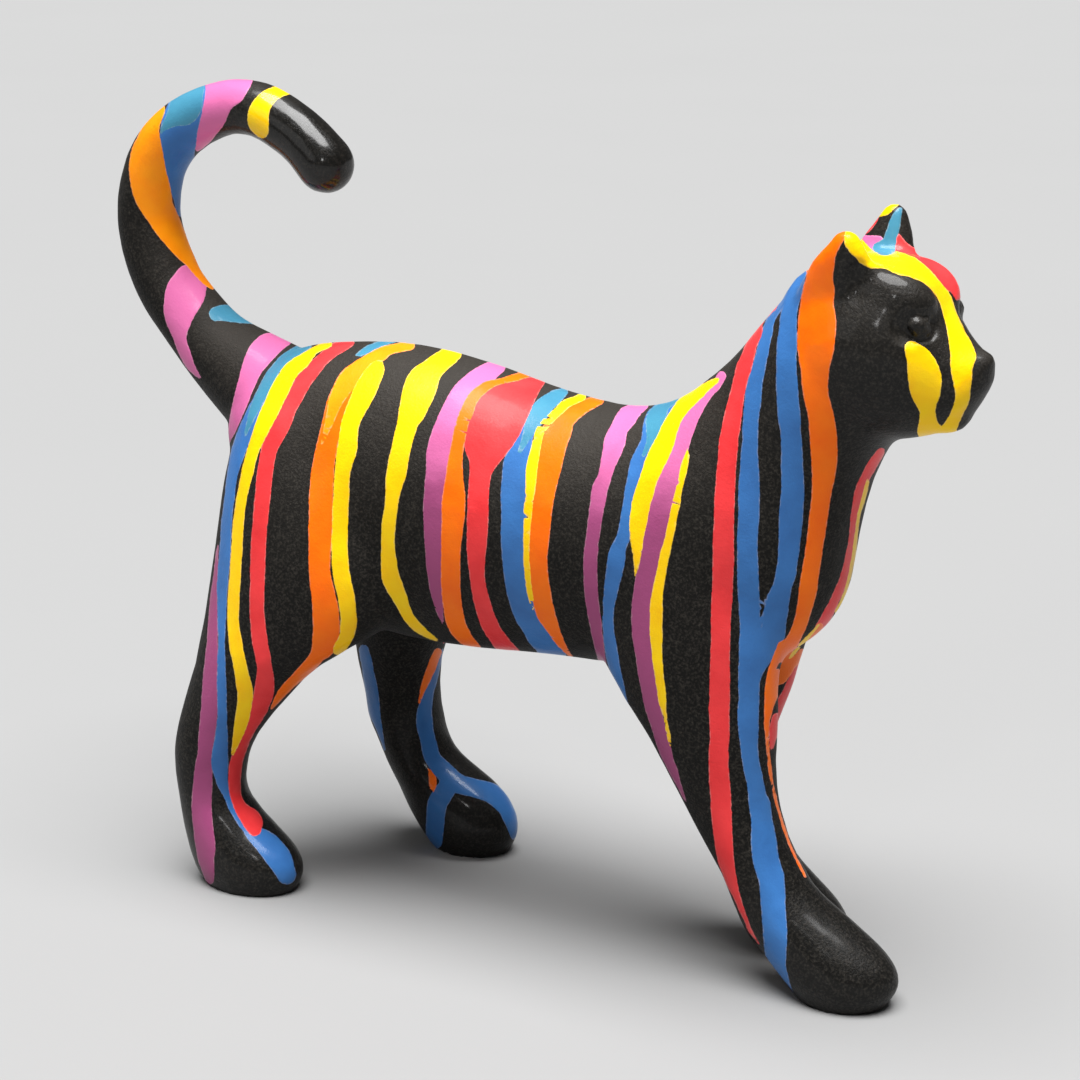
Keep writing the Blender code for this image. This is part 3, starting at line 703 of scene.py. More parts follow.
@dataclass(frozen=True)
class PouredPaint:
    """Acrylic paint that has run down over matt black paper."""

    ground: Colour = (0.0048, 0.0045, 0.0039, 1)
    ground_worn: Colour = (0.042, 0.037, 0.031, 1)
    # A lighter black, painted on the high, up-facing back as a painted sheen of the top light.
    ground_sheen: Colour = (0.030, 0.026, 0.022, 1)
    ground_roughness: float = 0.56
    paint_roughness: float = 0.42
    polished_roughness: float = 0.27
    specular: float = 0.12
    paint_coat: float = 0.1
    edge_softness: float = 0.00022
    ragged: float = 0.0007
    nibbled: float = 0.0005
    thickness: float = 0.00016
    shoulder: float = 0.0008
    # Painted shade: pink turns to its darker tone below this height, over the fade that follows.
    painted_shade_below: float = 0.213
    painted_shade_fade: float = 0.03
    rim: Colour = (0.80, 0.70, 0.66, 1)
    rim_width: float = 0.0005
    rim_share: float = 0.35
    wander_scale: float = 130.0
    nibble_scale: float = 620.0
    cloud_scale: float = 75.0
    grain_scale: float = 950.0
    speck_scale: float = 420.0
    worn_by_grain: float = 3.2
    grain_height: float = 0.00048
    speck_height: float = 0.00012
    polish_coat: float = 0.5
    coat_roughness: float = 0.13
    tones: dict[Paint, tuple[Colour, Colour]] = field(default_factory=lambda: {
        # The second pink is darker: it is mixed in at random, and as painted shade lower on the body.
        Paint.PINK: ((0.64, 0.145, 0.350, 1), (0.32, 0.062, 0.170, 1)),
        Paint.BLUE: ((0.042, 0.165, 0.440, 1), (0.034, 0.130, 0.360, 1)),
        # Pale blue, also used as painted highlight on blue.
        Paint.SKY: ((0.055, 0.235, 0.350, 1), (0.045, 0.195, 0.310, 1)),
        Paint.RED: ((0.82, 0.046, 0.050, 1), (0.70, 0.030, 0.034, 1)),
        Paint.ORANGE: ((0.93, 0.165, 0.0012, 1), (0.90, 0.125, 0.0008, 1)),
        # Orange painted lighter: painted light from above.
        Paint.AMBER: ((0.97, 0.31, 0.0040, 1), (0.95, 0.24, 0.0020, 1)),
        Paint.YELLOW: ((0.95, 0.62, 0.0015, 1), (0.93, 0.50, 0.0010, 1)),
    })

    def build(self) -> bpy.types.Material:
        """Builds the cat's paint.

        Returns:
            The material. It reads the skin's distance attributes and its polish.
        """
        shader = Shader("poured_paint")
        where = shader.add("ShaderNodeTexCoord", {}, {}).outputs["Object"]
        wander = (shader.noise(where, self.wander_scale, 1) - 0.5) * self.ragged
        nibble = (shader.noise(where, self.nibble_scale, 2) - 0.5) * self.nibbled
        wobble = wander + nibble
        cloud = shader.noise(where, self.cloud_scale, 3)
        grain = shader.noise(where, self.grain_scale, 4, 0.62)
        speck = shader.noise(where, self.speck_scale, 3, 0.6)
        polish = shader.attribute("polish")
        up = Value(shader, shader.add("ShaderNodeSeparateXYZ", {}, {0: where}).outputs["Z"])

        worn = ((speck - 0.47) * 1.0 + (grain - 0.47) * self.worn_by_grain) * (1 - 0.6 * polish)
        # Painted sheen: the black is lighter where the skin faces up, high on the back.
        sheened_ground = shader.blend(shader.attribute("painted_sheen"), self.ground, self.ground_sheen)
        colour = shader.blend(worn.at_most_one(), sheened_ground, self.ground_worn)
        cover = None
        for paint in Paint:
            inside = shader.attribute(paint.attribute) + wobble
            mask = (inside * (1 / self.edge_softness) + 0.5).at_most_one()
            share = (cloud - 0.35) * 2.4
            # Painted shade: pink darkens lower down on the body, where less of the top light falls.
            if paint is Paint.PINK:
                share = share * 0.4 + (self.painted_shade_below - up) * (1 / self.painted_shade_fade)
            tone = shader.blend(share.at_most_one(), *self.tones[paint])
            thin = (1 - inside * (1 / self.rim_width)).at_most_one() * ((speck - 0.4) * 3).at_most_one()
            tone = shader.blend(thin * self.rim_share, tone, self.rim)
            colour = shader.blend(mask, colour, tone)
            cover = inside if cover is None else cover.or_more(inside)
        painted = (cover * (1 / self.edge_softness) + 0.5).at_most_one()
        layer = (cover * (1 / self.shoulder)).at_most_one()
        rounded = layer * (2 - layer)

        rough = self.ground_roughness + (grain - 0.5) * 0.25
        rough = rough + painted * (self.paint_roughness - self.ground_roughness)
        rough = rough + polish * (self.polished_roughness - rough)
        grains = (grain - 0.5) * (1 - 0.75 * painted) * (1 - 0.6 * polish) * self.grain_height
        height = rounded * self.thickness + grains
        height = height + (speck - 0.5) * (1 - 0.5 * polish) * self.speck_height
        bump = shader.add("ShaderNodeBump", {}, {"Strength": 1.0, "Distance": 1.0, "Height": height})
        return shader.finish({
            "Base Color": colour,
            "Roughness": rough,
            "Specular IOR Level": self.specular,
            "Coat Weight": (painted * self.paint_coat).or_more(polish * self.polish_coat),
            "Coat Roughness": self.coat_roughness,
            "Normal": bump.outputs["Normal"],
        })


@dataclass(frozen=True)
class StudioPaper:
    """The pale paper that the cat stands on."""

    shade: Colour = (0.254, 0.254, 0.254, 1)
    cloudy: Colour = (0.248, 0.248, 0.248, 1)

    def build(self) -> bpy.types.Material:
        """Builds the floor's material."""
        shader = Shader("studio_paper")
        where = shader.add("ShaderNodeTexCoord", {}, {}).outputs["Object"]
        colour = shader.blend(shader.noise(where, 3, 2), self.shade, self.cloudy)
        return shader.finish({"Base Color": colour, "Roughness": 0.8})


def new_object(name: str, mesh: bpy.types.Mesh) -> bpy.types.Object:
    """A linked object of that mesh."""
    made = bpy.data.objects.new(name, mesh)
    bpy.context.scene.collection.objects.link(made)
    return made


def applied(source: bpy.types.Object, name: str) -> bpy.types.Mesh:
    """An object's shape with its modifiers, as a plain mesh. The object is removed."""
    graph = bpy.context.evaluated_depsgraph_get()
    mesh = bpy.data.meshes.new_from_object(
        source.evaluated_get(graph), preserve_all_data_layers=True, depsgraph=graph,
    )
    mesh.name = name
    bpy.data.objects.remove(source)
    return mesh


def places_of(mesh: bpy.types.Mesh) -> np.ndarray:
    """A mesh's points, one row each."""
    flat = np.empty(len(mesh.vertices) * 3, np.float64)
    mesh.vertices.foreach_get("co", flat)
    return flat.reshape(-1, 3)


def move_to(mesh: bpy.types.Mesh, places: np.ndarray) -> None:
    """Moves a mesh's points."""
    mesh.vertices.foreach_set("co", places.ravel())
    mesh.update()


def evened(places: np.ndarray, edges: np.ndarray, give: np.ndarray, rounds: int) -> np.ndarray:
    """Evens out small facets and keeps the volume, by pulling each point in and out again.

    Args:
        places: the points.
        edges: pairs of point numbers.
        give: how much each point may move, from 0 to 1.
        rounds: how often it is done.

    Returns:
        The new points.
    """
    one, two = edges[:, 0], edges[:, 1]
    total = len(places)
    count = np.bincount(edges.ravel(), minlength=total)
    for pull in (0.5, -0.505) * rounds:
        around = np.column_stack([
            np.bincount(one, places[two, k], total) + np.bincount(two, places[one, k], total) for k in range(3)
        ])
        places = places + (pull * give)[:, None] * (around / count[:, None] - places)
    return places


def smooth_line(table: np.ndarray, step: float) -> np.ndarray:
    """A smooth line through a table's rows, with points about step apart in its first two columns.

    Args:
        table: the rows to pass through.
        step: the distance between new points.

    Returns:
        The denser table.
    """
    padded = np.vstack([2 * table[0] - table[1], table, 2 * table[-1] - table[-2]])
    parts = []
    for before, start, end, after in zip(padded, padded[1:], padded[2:], padded[3:]):
        steps = max(1, math.ceil(np.hypot(*(end - start)[:2]) / step))
        t = (np.arange(steps) / steps)[:, None]
        parts.append(0.5 * (
            2 * start + (end - before) * t
            + (2 * before - 5 * start + 4 * end - after) * t**2
            + (3 * start - before - 3 * end + after) * t**3
        ))
    return np.vstack([*parts, table[-1:]])


@dataclass
class PaperRelief:
    """The slight lumps of pasted paper, as Geometry Nodes."""

    lump_size: float = 0.022
    lump_height: float = 0.0005
    dab_size: float = 0.006
    dab_height: float = 0.00016
    bare_floor: float = 0.004
    seed: float = 4.0
    finish: bpy.types.Material | None = None

    def tree(self) -> bpy.types.GeometryNodeTree:
        """Builds the node tree. Its inputs are named after the sizes."""
        tree = bpy.data.node_groups.new("paper relief", "GeometryNodeTree")
        tree.interface.new_socket("Skin", in_out="INPUT", socket_type="NodeSocketGeometry")
        for label in ("Lump Size", "Lump Height", "Dab Size", "Dab Height", "Bare Floor", "Seed"):
            tree.interface.new_socket(label, in_out="INPUT", socket_type="NodeSocketFloat")
        tree.interface.new_socket("Finish", in_out="INPUT", socket_type="NodeSocketMaterial")
        tree.interface.new_socket("Skin", in_out="OUTPUT", socket_type="NodeSocketGeometry")

        def add(kind: str, settings: dict[str, Any], sockets: dict[Any, Any]) -> bpy.types.Node:
            """Adds a node with its settings, and then its values or links."""
            node = tree.nodes.new(kind)
            for name, value in settings.items():
                setattr(node, name, value)
            for key, value in sockets.items():
                if isinstance(value, bpy.types.NodeSocket):
                    tree.links.new(value, node.inputs[key])
                else:
                    node.inputs[key].default_value = value
            return node

        def sums(operation: str, one: Any, two: Any) -> bpy.types.NodeSocket:
            """A Math node of two values."""
            return add("ShaderNodeMath", {"operation": operation}, {0: one, 1: two}).outputs[0]

        given = tree.nodes.new("NodeGroupInput").outputs
        where = add("GeometryNodeInputPosition", {}, {}).outputs[0]
        dents = []
        for size, height in (("Lump Size", "Lump Height"), ("Dab Size", "Dab Height")):
            noise = add(
                "ShaderNodeTexNoise", {"noise_dimensions": "4D"},
                {"Vector": where, "W": given["Seed"], "Scale": sums("DIVIDE", 1.0, given[size]), "Detail": 1.0},
            )
            dents.append(sums("MULTIPLY", noise.outputs[0], given[height]))
        height = add("ShaderNodeSeparateXYZ", {}, {0: where}).outputs["Z"]
        settings = {"operation": "DIVIDE", "use_clamp": True}
        clear = add("ShaderNodeMath", settings, {0: height, 1: given["Bare Floor"]})
        depth = sums("MULTIPLY", sums("ADD", *dents), clear.outputs[0])
        inward = sums("MULTIPLY", depth, -1.0)
        normal = add("GeometryNodeInputNormal", {}, {}).outputs[0]
        shift = add("ShaderNodeVectorMath", {"operation": "SCALE"}, {0: normal, "Scale": inward})
        moved = add("GeometryNodeSetPosition", {}, {"Geometry": given["Skin"], "Offset": shift.outputs[0]})
        real = add("GeometryNodeRealizeInstances", {}, {0: moved.outputs[0]})
        dressed = add("GeometryNodeSetMaterial", {}, {"Geometry": real.outputs[0], "Material": given["Finish"]})
        add("NodeGroupOutput", {}, {0: dressed.outputs[0]})
        return tree

    def on(self, mesh: bpy.types.Mesh, name: str) -> bpy.types.Mesh:
        """Gives a mesh the relief.

        Args:
            mesh: the smooth skin.
            name: the new mesh's name.

        Returns:
            The skin with its lumps, as a plain mesh.
        """
        carrier = new_object("smooth skin", mesh)
        modifier = carrier.modifiers.new("paper relief", "NODES")
        modifier.node_group = self.tree()
        values = {
            "Lump Size": self.lump_size, "Lump Height": self.lump_height, "Dab Size": self.dab_size,
            "Dab Height": self.dab_height, "Bare Floor": self.bare_floor, "Seed": self.seed,
            "Finish": self.finish,
        }
        for item in modifier.node_group.interface.items_tree:
            if item.in_out == "INPUT" and item.name in values:
                modifier[item.identifier] = values[item.name]
        return applied(carrier, name)


@dataclass
class FaceCarving:
    """The eyes and the lower right ear, carved finer than the solid has them. Pixels are the camera's."""

    viewpoint: Viewpoint
    eye: tuple[float, float] = (921.0, 328.0)
    eye_reach: tuple[float, float] = (15.0, 12.2)
    eye_tilt: float = 12.0
    socket: float = 0.0008
    bulge: float = 0.0017
    crease: float = 0.0007
    lower_lid: float = 0.0003
    left_share: float = 0.4
    ear_base: float = 0.297
    ear_height: float = 0.76
    ear_start: tuple[float, float] = (0.13, -0.006)

    def eye_relief(self, seen: np.ndarray) -> np.ndarray:
        """How far the eye and its lids stand out at places of the picture, in metres."""
        turn = math.radians(self.eye_tilt)
        off = seen - self.eye
        long = (off[:, 0] * math.cos(turn) + off[:, 1] * math.sin(turn)) / self.eye_reach[0]
        short = (off[:, 1] * math.cos(turn) - off[:, 0] * math.sin(turn)) / self.eye_reach[1]
        out = np.hypot(long, short)
        ball = self.bulge * np.clip(1 - out**2, 0, 1)
        hollow = -self.socket * np.exp(-((out / 1.35) ** 4))
        groove = -self.crease * np.exp(-(((out - 1.04) / 0.14) ** 2))
        corner = -self.crease * np.exp(-(((long + 1.35) / 0.3) ** 2) - (((short - 0.28) / 0.12) ** 2))
        lid = self.lower_lid * np.exp(-(((out - 1.36) / 0.16) ** 2)) * np.clip(short + 0.2, 0, 1)
        return ball + hollow + groove + corner + lid

    def carve(self, mesh: bpy.types.Mesh) -> None:
        """Carves both sides of the face."""
        places = places_of(mesh)
        flat = np.empty(len(places) * 3, np.float32)
        mesh.vertex_normals.foreach_get("vector", flat)
        normals = flat.reshape(-1, 3).astype(np.float64)
        right_side = places * (1, 0, 1) - np.abs(places * (0, 1, 0))
        seen, _ = self.viewpoint.picture_of(right_side)
        outward = normals[:, 1] * np.sign(places[:, 1]) > 0.2
        near = outward & (np.linalg.norm(seen - self.eye, axis=1) < 3 * self.eye_reach[0])
        share = np.where(places[near, 1] > 0, self.left_share, 1.0)
        places[near] += normals[near] * (self.eye_relief(seen[near]) * share)[:, None]
        right_of_head = (places[:, 0] > self.ear_start[0]) & (places[:, 1] < self.ear_start[1])
        tip = right_of_head & (places[:, 2] > self.ear_base)
        places[tip, 2] = self.ear_base + (places[tip, 2] - self.ear_base) * self.ear_height
        move_to(mesh, places)


@dataclass
class Skin:
    """The cat's skin, finer than its solid."""

    node: str = "cat"
    cell: float = 0.0011
    rounds: int = 110
    face_start: tuple[float, float] = (0.125, 0.224)
    face_give: float = 0.12
    triangles: int = 194_000
    weights: dict[str, float] = field(default_factory=lambda: {"body": 0.72, "face": 0.4})
    length_care: float = 0.001
    flat_below: float = 0.0006

    def copy_of_solid(self) -> bpy.types.Mesh:
        """The solid's mesh, with its loose triangles joined."""
        joined = bmesh.new()
        joined.from_mesh(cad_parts[self.node].data)
        bmesh.ops.remove_doubles(joined, verts=joined.verts[:], dist=1e-6)
        mesh = bpy.data.meshes.new("joined solid")
        joined.to_mesh(mesh)
        joined.free()
        return mesh

    def fine(self) -> bpy.types.Mesh:
        """An even, fine skin over the solid."""
        carrier = new_object("fine skin", self.copy_of_solid())
        remesh = carrier.modifiers.new("fine", "REMESH")
        remesh.mode = "VOXEL"
        remesh.voxel_size = self.cell
        mesh = applied(carrier, "fine skin")
        edges = np.empty(len(mesh.edges) * 2, np.int64)
        mesh.edges.foreach_get("vertices", edges)
        places = places_of(mesh)
        give = np.where(self.on_face(places), self.face_give, 1.0)
        move_to(mesh, evened(places, edges.reshape(-1, 2), give, self.rounds))
        return mesh

    def on_face(self, places: np.ndarray) -> np.ndarray:
        """Which points are on the face."""
        return (places[:, 0] > self.face_start[0]) & (places[:, 2] > self.face_start[1])

    def thinned(self, mesh: bpy.types.Mesh) -> bpy.types.Mesh:
        """The skin with fewer faces: the shortest edges go first, and the face keeps more of them."""
        carrier = new_object("many faces", mesh)
        group = carrier.vertex_groups.new(name="thinning")
        on_face = self.on_face(places_of(mesh))
        group.add(np.flatnonzero(~on_face).tolist(), self.weights["body"], "REPLACE")
        group.add(np.flatnonzero(on_face).tolist(), self.weights["face"], "REPLACE")
        faces = sum(len(polygon.vertices) - 2 for polygon in mesh.polygons)
        decimate = carrier.modifiers.new("fewer faces", "DECIMATE")
        decimate.vertex_group = group.name
        decimate.vertex_group_factor = self.length_care
        decimate.ratio = min(1.0, self.triangles / faces)
        return applied(carrier, "thinned skin")

    def within_box(self, mesh: bpy.types.Mesh) -> None:
        """Sets the soles flat, and keeps the skin within the solid's box."""
        low, high = (np.array(corner) for corner in CAD_BOX)
        places = places_of(mesh)
        places[places[:, 2] < self.flat_below, 2] = 0.0
        move_to(mesh, np.clip(places, low, high))

    def build(self, carving: FaceCarving, relief: PaperRelief) -> bpy.types.Mesh:
        """Builds the skin.

        Args:
            carving: what is carved in its face.
            relief: the lumps that it gets.

        Returns:
            The finished mesh, with no paint marked on it yet.
        """
        fine = self.fine()
        carving.carve(fine)
        mesh = relief.on(self.thinned(fine), "skin")
        self.within_box(mesh)
        return mesh


@dataclass
class PaintRuns:
    """Marks the runs of paint on the skin."""

    mesh: bpy.types.Mesh
    viewpoint: Viewpoint
    pixel_step: float = 1.6
    reach: float = 0.004
    facing: float = 0.1
    grazing: float = 0.35
    thin_wall: float = 0.003
    slack: float = 0.018
    evening: int = 14
    spread_loss: float = 0.4
    left_start: float = 0.3
    widest_bridge: float = 0.04
    bridge_step: float = 0.0008
    head_start: tuple[float, float] = (0.108, 0.225)
    least_half: float = 0.4
    widest_stretch: float = 1.9
    usual_stretch: float = 1.25
    mirror_wobble: float = 2.2
    mirror_waves: float = 0.09
    spread_rounds: int = 3
    seed: int = 11
    chance: np.random.Generator = field(init=False)
    tree: BVHTree = field(init=False)
    places: np.ndarray = field(init=False)
    normals: np.ndarray = field(init=False)
    picture: np.ndarray = field(init=False)
    pixel: np.ndarray = field(init=False)
    visible: np.ndarray = field(init=False)
    distance: dict[Paint, np.ndarray] = field(init=False)

    def __post_init__(self) -> None:
        """Reads the skin once."""
        self.places = places_of(self.mesh)
        flat = np.empty(len(self.places) * 3, np.float32)
        self.mesh.vertex_normals.foreach_get("vector", flat)
        self.normals = flat.reshape(-1, 3).astype(np.float64)
        corners = [tuple(polygon.vertices) for polygon in self.mesh.polygons]
        self.tree = BVHTree.FromPolygons([tuple(place) for place in self.places], corners)
        self.distance = {paint: np.full(len(self.places), -self.reach) for paint in Paint}
        self.chance = np.random.default_rng(self.seed)
        self.picture, self.pixel = self.viewpoint.picture_of(self.places)
        self.visible = self.in_sight(self.places, self.normals)

    def seen(self, across: float, down: float, depth: float) -> tuple[Vector, Vector, float]:
        """The point of the skin that shows at a place in the picture.

        Args:
            across: pixels from the left edge.
            down: pixels from the top edge.
            depth: how far away to look where the line of sight misses.

        Returns:
            The point, the skin's normal there, and its distance from the camera.
        """
        start, toward = self.viewpoint.ray(across, down)
        place, normal, _, far = self.tree.ray_cast(start, toward)
        if place is None:
            place, normal, _, _ = self.tree.find_nearest(start + toward * depth)
            far = (place - start).length
        return place, normal, far

    def traced(self, run: Run) -> tuple[np.ndarray, np.ndarray, np.ndarray, np.ndarray]:
        """A run's middle line on the skin.

        Args:
            run: the run, as the camera sees it.

        Returns:
            The line in the picture, points on the skin, normals there, and half widths in metres.
        """
        line = smooth_line(run.middle_line(), self.pixel_step)
        line[:, 2] = np.maximum(line[:, 2], self.least_half)
        slope = np.gradient(line[:, :2], axis=0)
        square = np.column_stack([slope[:, 1], -slope[:, 0]]) / np.hypot(*slope.T)[:, None]
        middles, normals, halves = [], [], []
        depth = (Vector(self.viewpoint.place) - Vector((0, 0, 0.2))).length
        for (across, down, half), (right, low) in zip(line, square):
            place, normal, depth = self.seen(across, down, depth)
            flat = half * depth / self.viewpoint.focal_pixels
            edge_one, _, _ = self.seen(across - right * half, down - low * half, depth)
            edge_two, _, _ = self.seen(across + right * half, down + low * half, depth)
            wide = (edge_one - edge_two).length / 2
            middles.append(place)
            normals.append(normal)
            halves.append(wide if wide < self.widest_stretch * flat else self.usual_stretch * flat)
        side = self.evening
        window = np.ones(2 * side + 1) / (2 * side + 1)
        halves = np.convolve(np.pad(halves, side, mode="edge"), window, mode="valid")
        return line, np.array(middles), np.array(normals), halves

    def nearby(self, allowed: np.ndarray, middles: np.ndarray, margin: float) -> np.ndarray:
        """The numbers of the allowed points that lie in the box of a line, widened by a margin."""
        inside = (self.places > middles.min(0) - margin) & (self.places < middles.max(0) + margin)
        return np.flatnonzero(inside.all(axis=1) & allowed)

    def mark_seen(self, paint: Paint, line: np.ndarray, middles: np.ndarray, halves: np.ndarray) -> None:
        """Marks a run on the part of the skin that the camera sees, just as wide as it shows there.

        Args:
            paint: its paint.
            line: its middle line and half widths in the picture.
            middles: the same points on the skin.
            halves: half widths there, in metres.
        """
        chosen = self.nearby(self.visible, middles, halves.max() + self.slack)
        best = self.distance[paint][chosen]
        for (across, down, half), middle, wide in zip(line, middles, halves):
            off = np.hypot(self.picture[chosen, 0] - across, self.picture[chosen, 1] - down)
            close = np.linalg.norm(self.places[chosen] - middle, axis=1) < wide + self.slack
            best = np.where(close, np.maximum(best, (half - off) * self.pixel[chosen]), best)
        self.distance[paint][chosen] = best

    def mark(self, paint: Paint, middles: np.ndarray, normals: np.ndarray, halves: np.ndarray) -> None:
        """Marks a run on the part of the skin that the camera doesn't see.

        Args:
            paint: its paint.
            middles: points of its middle line.
            normals: the skin's normals there.
            halves: its half widths there.
        """
        if not len(middles):
            return
        chosen = self.nearby(~self.visible, middles, halves.max() + self.reach)
        best = self.distance[paint][chosen]
        for middle, normal, half in zip(middles, normals, halves):
            away = np.linalg.norm(self.places[chosen] - middle, axis=1)
            same_side = self.normals[chosen] @ normal > self.facing
            best = np.where(same_side, np.maximum(best, half - away), best)
        self.distance[paint][chosen] = best

    def stride(self, places: np.ndarray) -> np.ndarray:
        """How much further forward a left leg stands than the right leg beside it, at each point."""
        up = places[:, 2]
        hind = np.interp(up, (0.01, 0.025, 0.05, 0.075, 0.112, 0.145, 0.165, 0.19),
                         (0.057, 0.060, 0.048, 0.037, 0.018, 0.008, 0.005, 0.0))
        fore = np.interp(up, (0.008, 0.016, 0.035, 0.058, 0.081, 0.103, 0.133, 0.165),
                         (-0.038, -0.035, -0.028, -0.0265, -0.0225, -0.0155, -0.0055, 0.0))
        is_hind = np.interp(places[:, 0], (-0.045, -0.02), (1.0, 0.0))
        is_fore = np.interp(places[:, 0], (0.04, 0.06), (0.0, 1.0))
        return hind * is_hind + fore * is_fore

    def twin_of(self, middles: np.ndarray, halves: np.ndarray) -> tuple[np.ndarray, np.ndarray, np.ndarray]:
        """A looser copy of a run on the cat's left side, which joins it over the back.

        Args:
            middles: points of the run's middle line.
            halves: its half widths.

        Returns:
            Points, normals and half widths of the copy.
        """
        share = np.linspace(0, 1, len(middles))
        drift = self.chance.uniform(-0.006, 0.006) * share
        drift = drift + self.chance.uniform(-0.002, 0.002) * np.sin(share * 9)
        on_trunk = np.where(middles[:, 0] < 0, np.interp(middles[:, 2], (0.235, 0.25), (1.0, 0.0)), 1.0)
        kept = max(2, round(len(middles) * self.chance.uniform(0.72, 0.98)))
        fuller = 1 + (self.chance.uniform(0.8, 1.15) - 1) * np.clip(share * 5, 0, 1)
        ahead = self.stride(middles) + drift * on_trunk
        found, normals, widths = [], [], []
        for (x, _, z), shift, half in list(zip(middles, ahead, halves * fuller))[:kept]:
            start = Vector((x + shift, self.left_start, z))
            place, normal, _, _ = self.tree.ray_cast(start, Vector((0, -1, 0)))
            if place is not None and normal.y > 0.05:
                found.append(np.array(place))
                normals.append(np.array(normal))
                widths.append(half)
        if not found:
            return np.empty((0, 3)), np.empty((0, 3)), np.empty(0)
        gap = np.linalg.norm(found[0] - middles[0])
        if gap < self.widest_bridge:
            for part in np.linspace(0, 1, max(2, round(gap / self.bridge_step))):
                rise = (0, 0, 0.25 * gap * math.sin(math.pi * part))
                between = middles[0] * (1 - part) + found[0] * part + rise
                place, normal, _, _ = self.tree.find_nearest(Vector(between))
                found.append(np.array(place))
                normals.append(np.array(normal))
                widths.append(halves[0] * (1 - part) + widths[0] * part)
        return np.array(found), np.array(normals), np.array(widths)

    def build(self, runs: tuple[Run, ...]) -> None:
        """Marks the runs and their twins."""
        for run in runs:
            line, middles, normals, halves = self.traced(run)
            self.mark_seen(run.paint, line, middles, halves)
            self.mark(run.paint, middles, normals, halves)
            if run.twin:
                self.mark(run.paint, *self.twin_of(middles, halves))

    def in_sight(self, places: np.ndarray, normals: np.ndarray) -> np.ndarray:
        """Which points the camera sees."""
        start = Vector(self.viewpoint.place)
        away = places - self.viewpoint.place
        far = np.linalg.norm(away, axis=1)
        toward = away / far[:, None]
        facing = np.einsum("ij,ij->i", toward, normals) < self.grazing
        seen = np.zeros(len(places), bool)
        for number in np.flatnonzero(facing):
            _, _, _, hit = self.tree.ray_cast(start, Vector(toward[number]))
            seen[number] = hit is None or hit > far[number] - self.thin_wall
        return seen

    def cover(self, patches: tuple[Patch, ...]) -> None:
        """Marks the head's patches, where the camera sees the head or its mirror image.

        Args:
            patches: the patches, as the camera sees them.
        """
        on_head = (self.places[:, 0] > self.head_start[0]) & (self.places[:, 2] > self.head_start[1])
        chosen = np.flatnonzero(on_head)
        places, normals = self.places[chosen], self.normals[chosen]
        mirror = np.array((1, -1, 1))
        direct = self.visible[chosen]
        reflected = ~direct & self.in_sight(places * mirror, normals * mirror)
        viewed = np.where(direct[:, None], places, places * mirror)
        seen, pixel = self.viewpoint.picture_of(viewed)
        seen[reflected] += self.mirror_wobble * np.sin(seen[reflected][:, ::-1] * self.mirror_waves)
        for patch in patches:
            depth = np.clip(patch.depth_inside(seen) * pixel, -self.reach, self.reach)
            depth = np.where(direct | reflected, depth, -self.reach)
            values = self.distance[patch.paint]
            values[chosen] = np.maximum(values[chosen], depth)

    def spread(self) -> None:
        """Lets paint run a little past the edge of what the camera sees, so that no edge shows there."""
        flat = np.empty(len(self.mesh.edges) * 2, np.int64)
        self.mesh.edges.foreach_get("vertices", flat)
        pairs = np.vstack([flat.reshape(-1, 2), flat.reshape(-1, 2)[:, ::-1]])
        length = np.linalg.norm(self.places[pairs[:, 0]] - self.places[pairs[:, 1]], axis=1)
        reached = self.visible.copy()
        for _ in range(self.spread_rounds):
            across = reached[pairs[:, 0]] & ~reached[pairs[:, 1]]
            source, target = pairs[across].T
            for values in self.distance.values():
                np.maximum.at(values, target, values[source] - length[across] * self.spread_loss)
            reached[target] = True

    def store(self) -> None:
        """Keeps the distances with the mesh."""
        for paint, values in self.distance.items():
            layer = self.mesh.attributes.new(paint.attribute, "FLOAT", "POINT")
            layer.data.foreach_set("value", values.astype(np.float32))


@dataclass
class Polish:
    """Where the skin has a gloss: tail tip, head and paws. Where it has none, its high, up-facing back gets a
    painted sheen.
    """

    spots: tuple[tuple[float, float, float, float, float], ...] = (
        (-0.105, 0.0, 0.318, 0.034, 1.0),
        (-0.135, 0.0, 0.336, 0.030, 0.5),
        (0.165, 0.0, 0.280, 0.052, 0.5),
        (-0.120, -0.043, 0.015, 0.040, 0.45),
        (-0.060, 0.043, 0.015, 0.040, 0.45),
        (0.158, -0.019, 0.015, 0.040, 0.4),
        (0.120, 0.020, 0.015, 0.040, 0.4),
    )
    gloss_end: float = 1.5
    # The painted sheen grows with how far the skin faces up, and with height.
    sheen_slope: tuple[float, float] = (-0.05, 0.8)
    sheen_height: tuple[float, float] = (0.13, 0.08)

    def store(self, mesh: bpy.types.Mesh) -> None:
        """Keeps the gloss and the painted sheen with the mesh, each from 0 to 1."""
        places = places_of(mesh)
        values = np.zeros(len(places))
        for x, y, z, reach, most in self.spots:
            away = np.linalg.norm(places - (x, y, z), axis=1) / reach
            values = np.maximum(values, most * np.clip(self.gloss_end - away, 0, 1))
        flat = np.empty(len(places) * 3, np.float32)
        mesh.vertex_normals.foreach_get("vector", flat)
        upward = flat.reshape(-1, 3)[:, 2]
        lying = np.clip((upward - self.sheen_slope[0]) / self.sheen_slope[1], 0, 1)
        high = np.clip((places[:, 2] - self.sheen_height[0]) / self.sheen_height[1], 0, 1)
        # Painted sheen: the black is lighter where the skin faces up and stands high, as the top light falls,
        # but not where it is polished.
        painted_sheen = lying * high * (1 - values)
        for name, amount in (("polish", values), ("painted_sheen", painted_sheen)):
            mesh.attributes.new(name, "FLOAT", "POINT").data.foreach_set("value", amount.astype(np.float32))


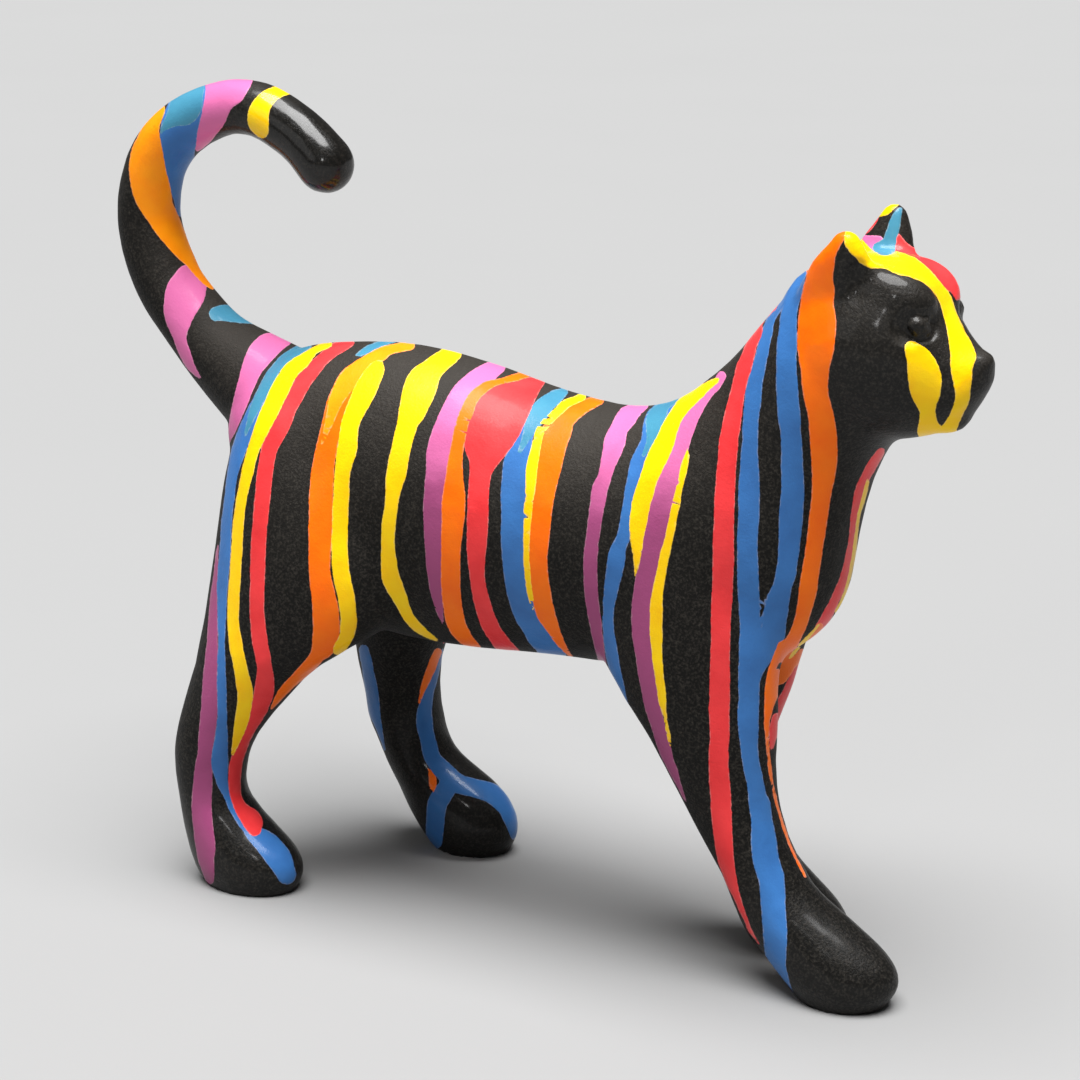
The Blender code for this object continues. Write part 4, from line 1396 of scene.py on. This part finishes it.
@dataclass
class Cat:
    """The papier-mache cat."""

    skin: Skin = field(default_factory=Skin)
    finish: PouredPaint = field(default_factory=PouredPaint)
    polish: Polish = field(default_factory=Polish)
    body: str = "root"
    slot: str = "painted_paper"

    def build(self, viewpoint: Viewpoint) -> bpy.types.Object:
        """Builds the painted cat.

        Args:
            viewpoint: where its runs of paint are seen from.

        Returns:
            The finished piece.
        """
        mesh = self.skin.build(FaceCarving(viewpoint), PaperRelief(finish=self.finish.build()))
        runs = PaintRuns(mesh, viewpoint)
        runs.build(TAIL_RUNS + FLANK_RUNS + CHEST_RUNS + LEG_RUNS)
        runs.cover(HEAD_PATCHES)
        runs.spread()
        runs.store()
        self.polish.store(mesh)
        mesh.shade_smooth()
        piece = new_object("painted_skin", mesh)
        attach(piece, self.body)
        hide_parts(self.skin.node)
        return piece


@dataclass
class Studio:
    """The floor and the lights."""

    floor_size: float = 60.0
    sky_strength: float = 0.1
    sun_strength: float = 8.3
    sun_softness: float = 46.0
    sun_tilt: tuple[float, float] = (6.0, 3.0)

    def floor(self) -> bpy.types.Object:
        """A pale floor that reaches past the picture."""
        half = self.floor_size / 2
        mesh = bpy.data.meshes.new("floor")
        corners = [(-half, -half, 0), (half, -half, 0), (half, half, 0), (-half, half, 0)]
        mesh.from_pydata(corners, [], [(0, 1, 2, 3)])
        mesh.materials.append(StudioPaper().build())
        floor = new_object("floor", mesh)
        return floor

    def lamp(self, name: str, place: Vector, aim: Vector, size: tuple[float, float], power: float) -> None:
        """Adds a soft box that points at aim."""
        data = bpy.data.lights.new(name, "AREA")
        data.shape = "RECTANGLE"
        data.size, data.size_y = size
        data.energy = power
        lamp = bpy.data.objects.new(name, data)
        lamp.location = place
        lamp.rotation_euler = (aim - place).to_track_quat("-Z", "Y").to_euler()
        bpy.context.scene.collection.objects.link(lamp)

    def build(self) -> None:
        """Builds the floor, the even light and the soft boxes."""
        self.floor()
        world = bpy.data.worlds.new("even light")
        world.use_nodes = True
        sky = world.node_tree.nodes["Background"].inputs
        sky["Color"].default_value = (1, 1, 1, 1)
        sky["Strength"].default_value = self.sky_strength
        bpy.context.scene.world = world
        sun = bpy.data.lights.new("overhead light", "SUN")
        sun.energy = self.sun_strength
        sun.angle = math.radians(self.sun_softness)
        overhead = bpy.data.objects.new("overhead light", sun)
        overhead.rotation_euler = (*(math.radians(angle) for angle in self.sun_tilt), 0)
        bpy.context.scene.collection.objects.link(overhead)
        self.lamp("left soft box", Vector((-0.6, -1.5, 0.9)), Vector((-0.1, 0, 0.2)), (0.7, 0.7), 1.5)
        self.lamp("small bright box", Vector((0.35, -1.0, 0.85)), Vector((0, 0, 0.25)), (0.09, 0.16), 1.2)
        bpy.context.scene.view_settings.view_transform = "Standard"


def main() -> None:
    """Builds the cat, the studio and the camera, in order."""
    logging.basicConfig(level=logging.INFO, format="%(message)s")
    viewpoint = Viewpoint()
    viewpoint.build()
    piece = Cat().build(viewpoint)
    LOG.info("%s: %d triangles", piece.name, sum(len(p.vertices) - 2 for p in piece.data.polygons))
    Studio().build()
    LOG.info("studio: floor and lights")


if __name__ == "__main__":
    main()
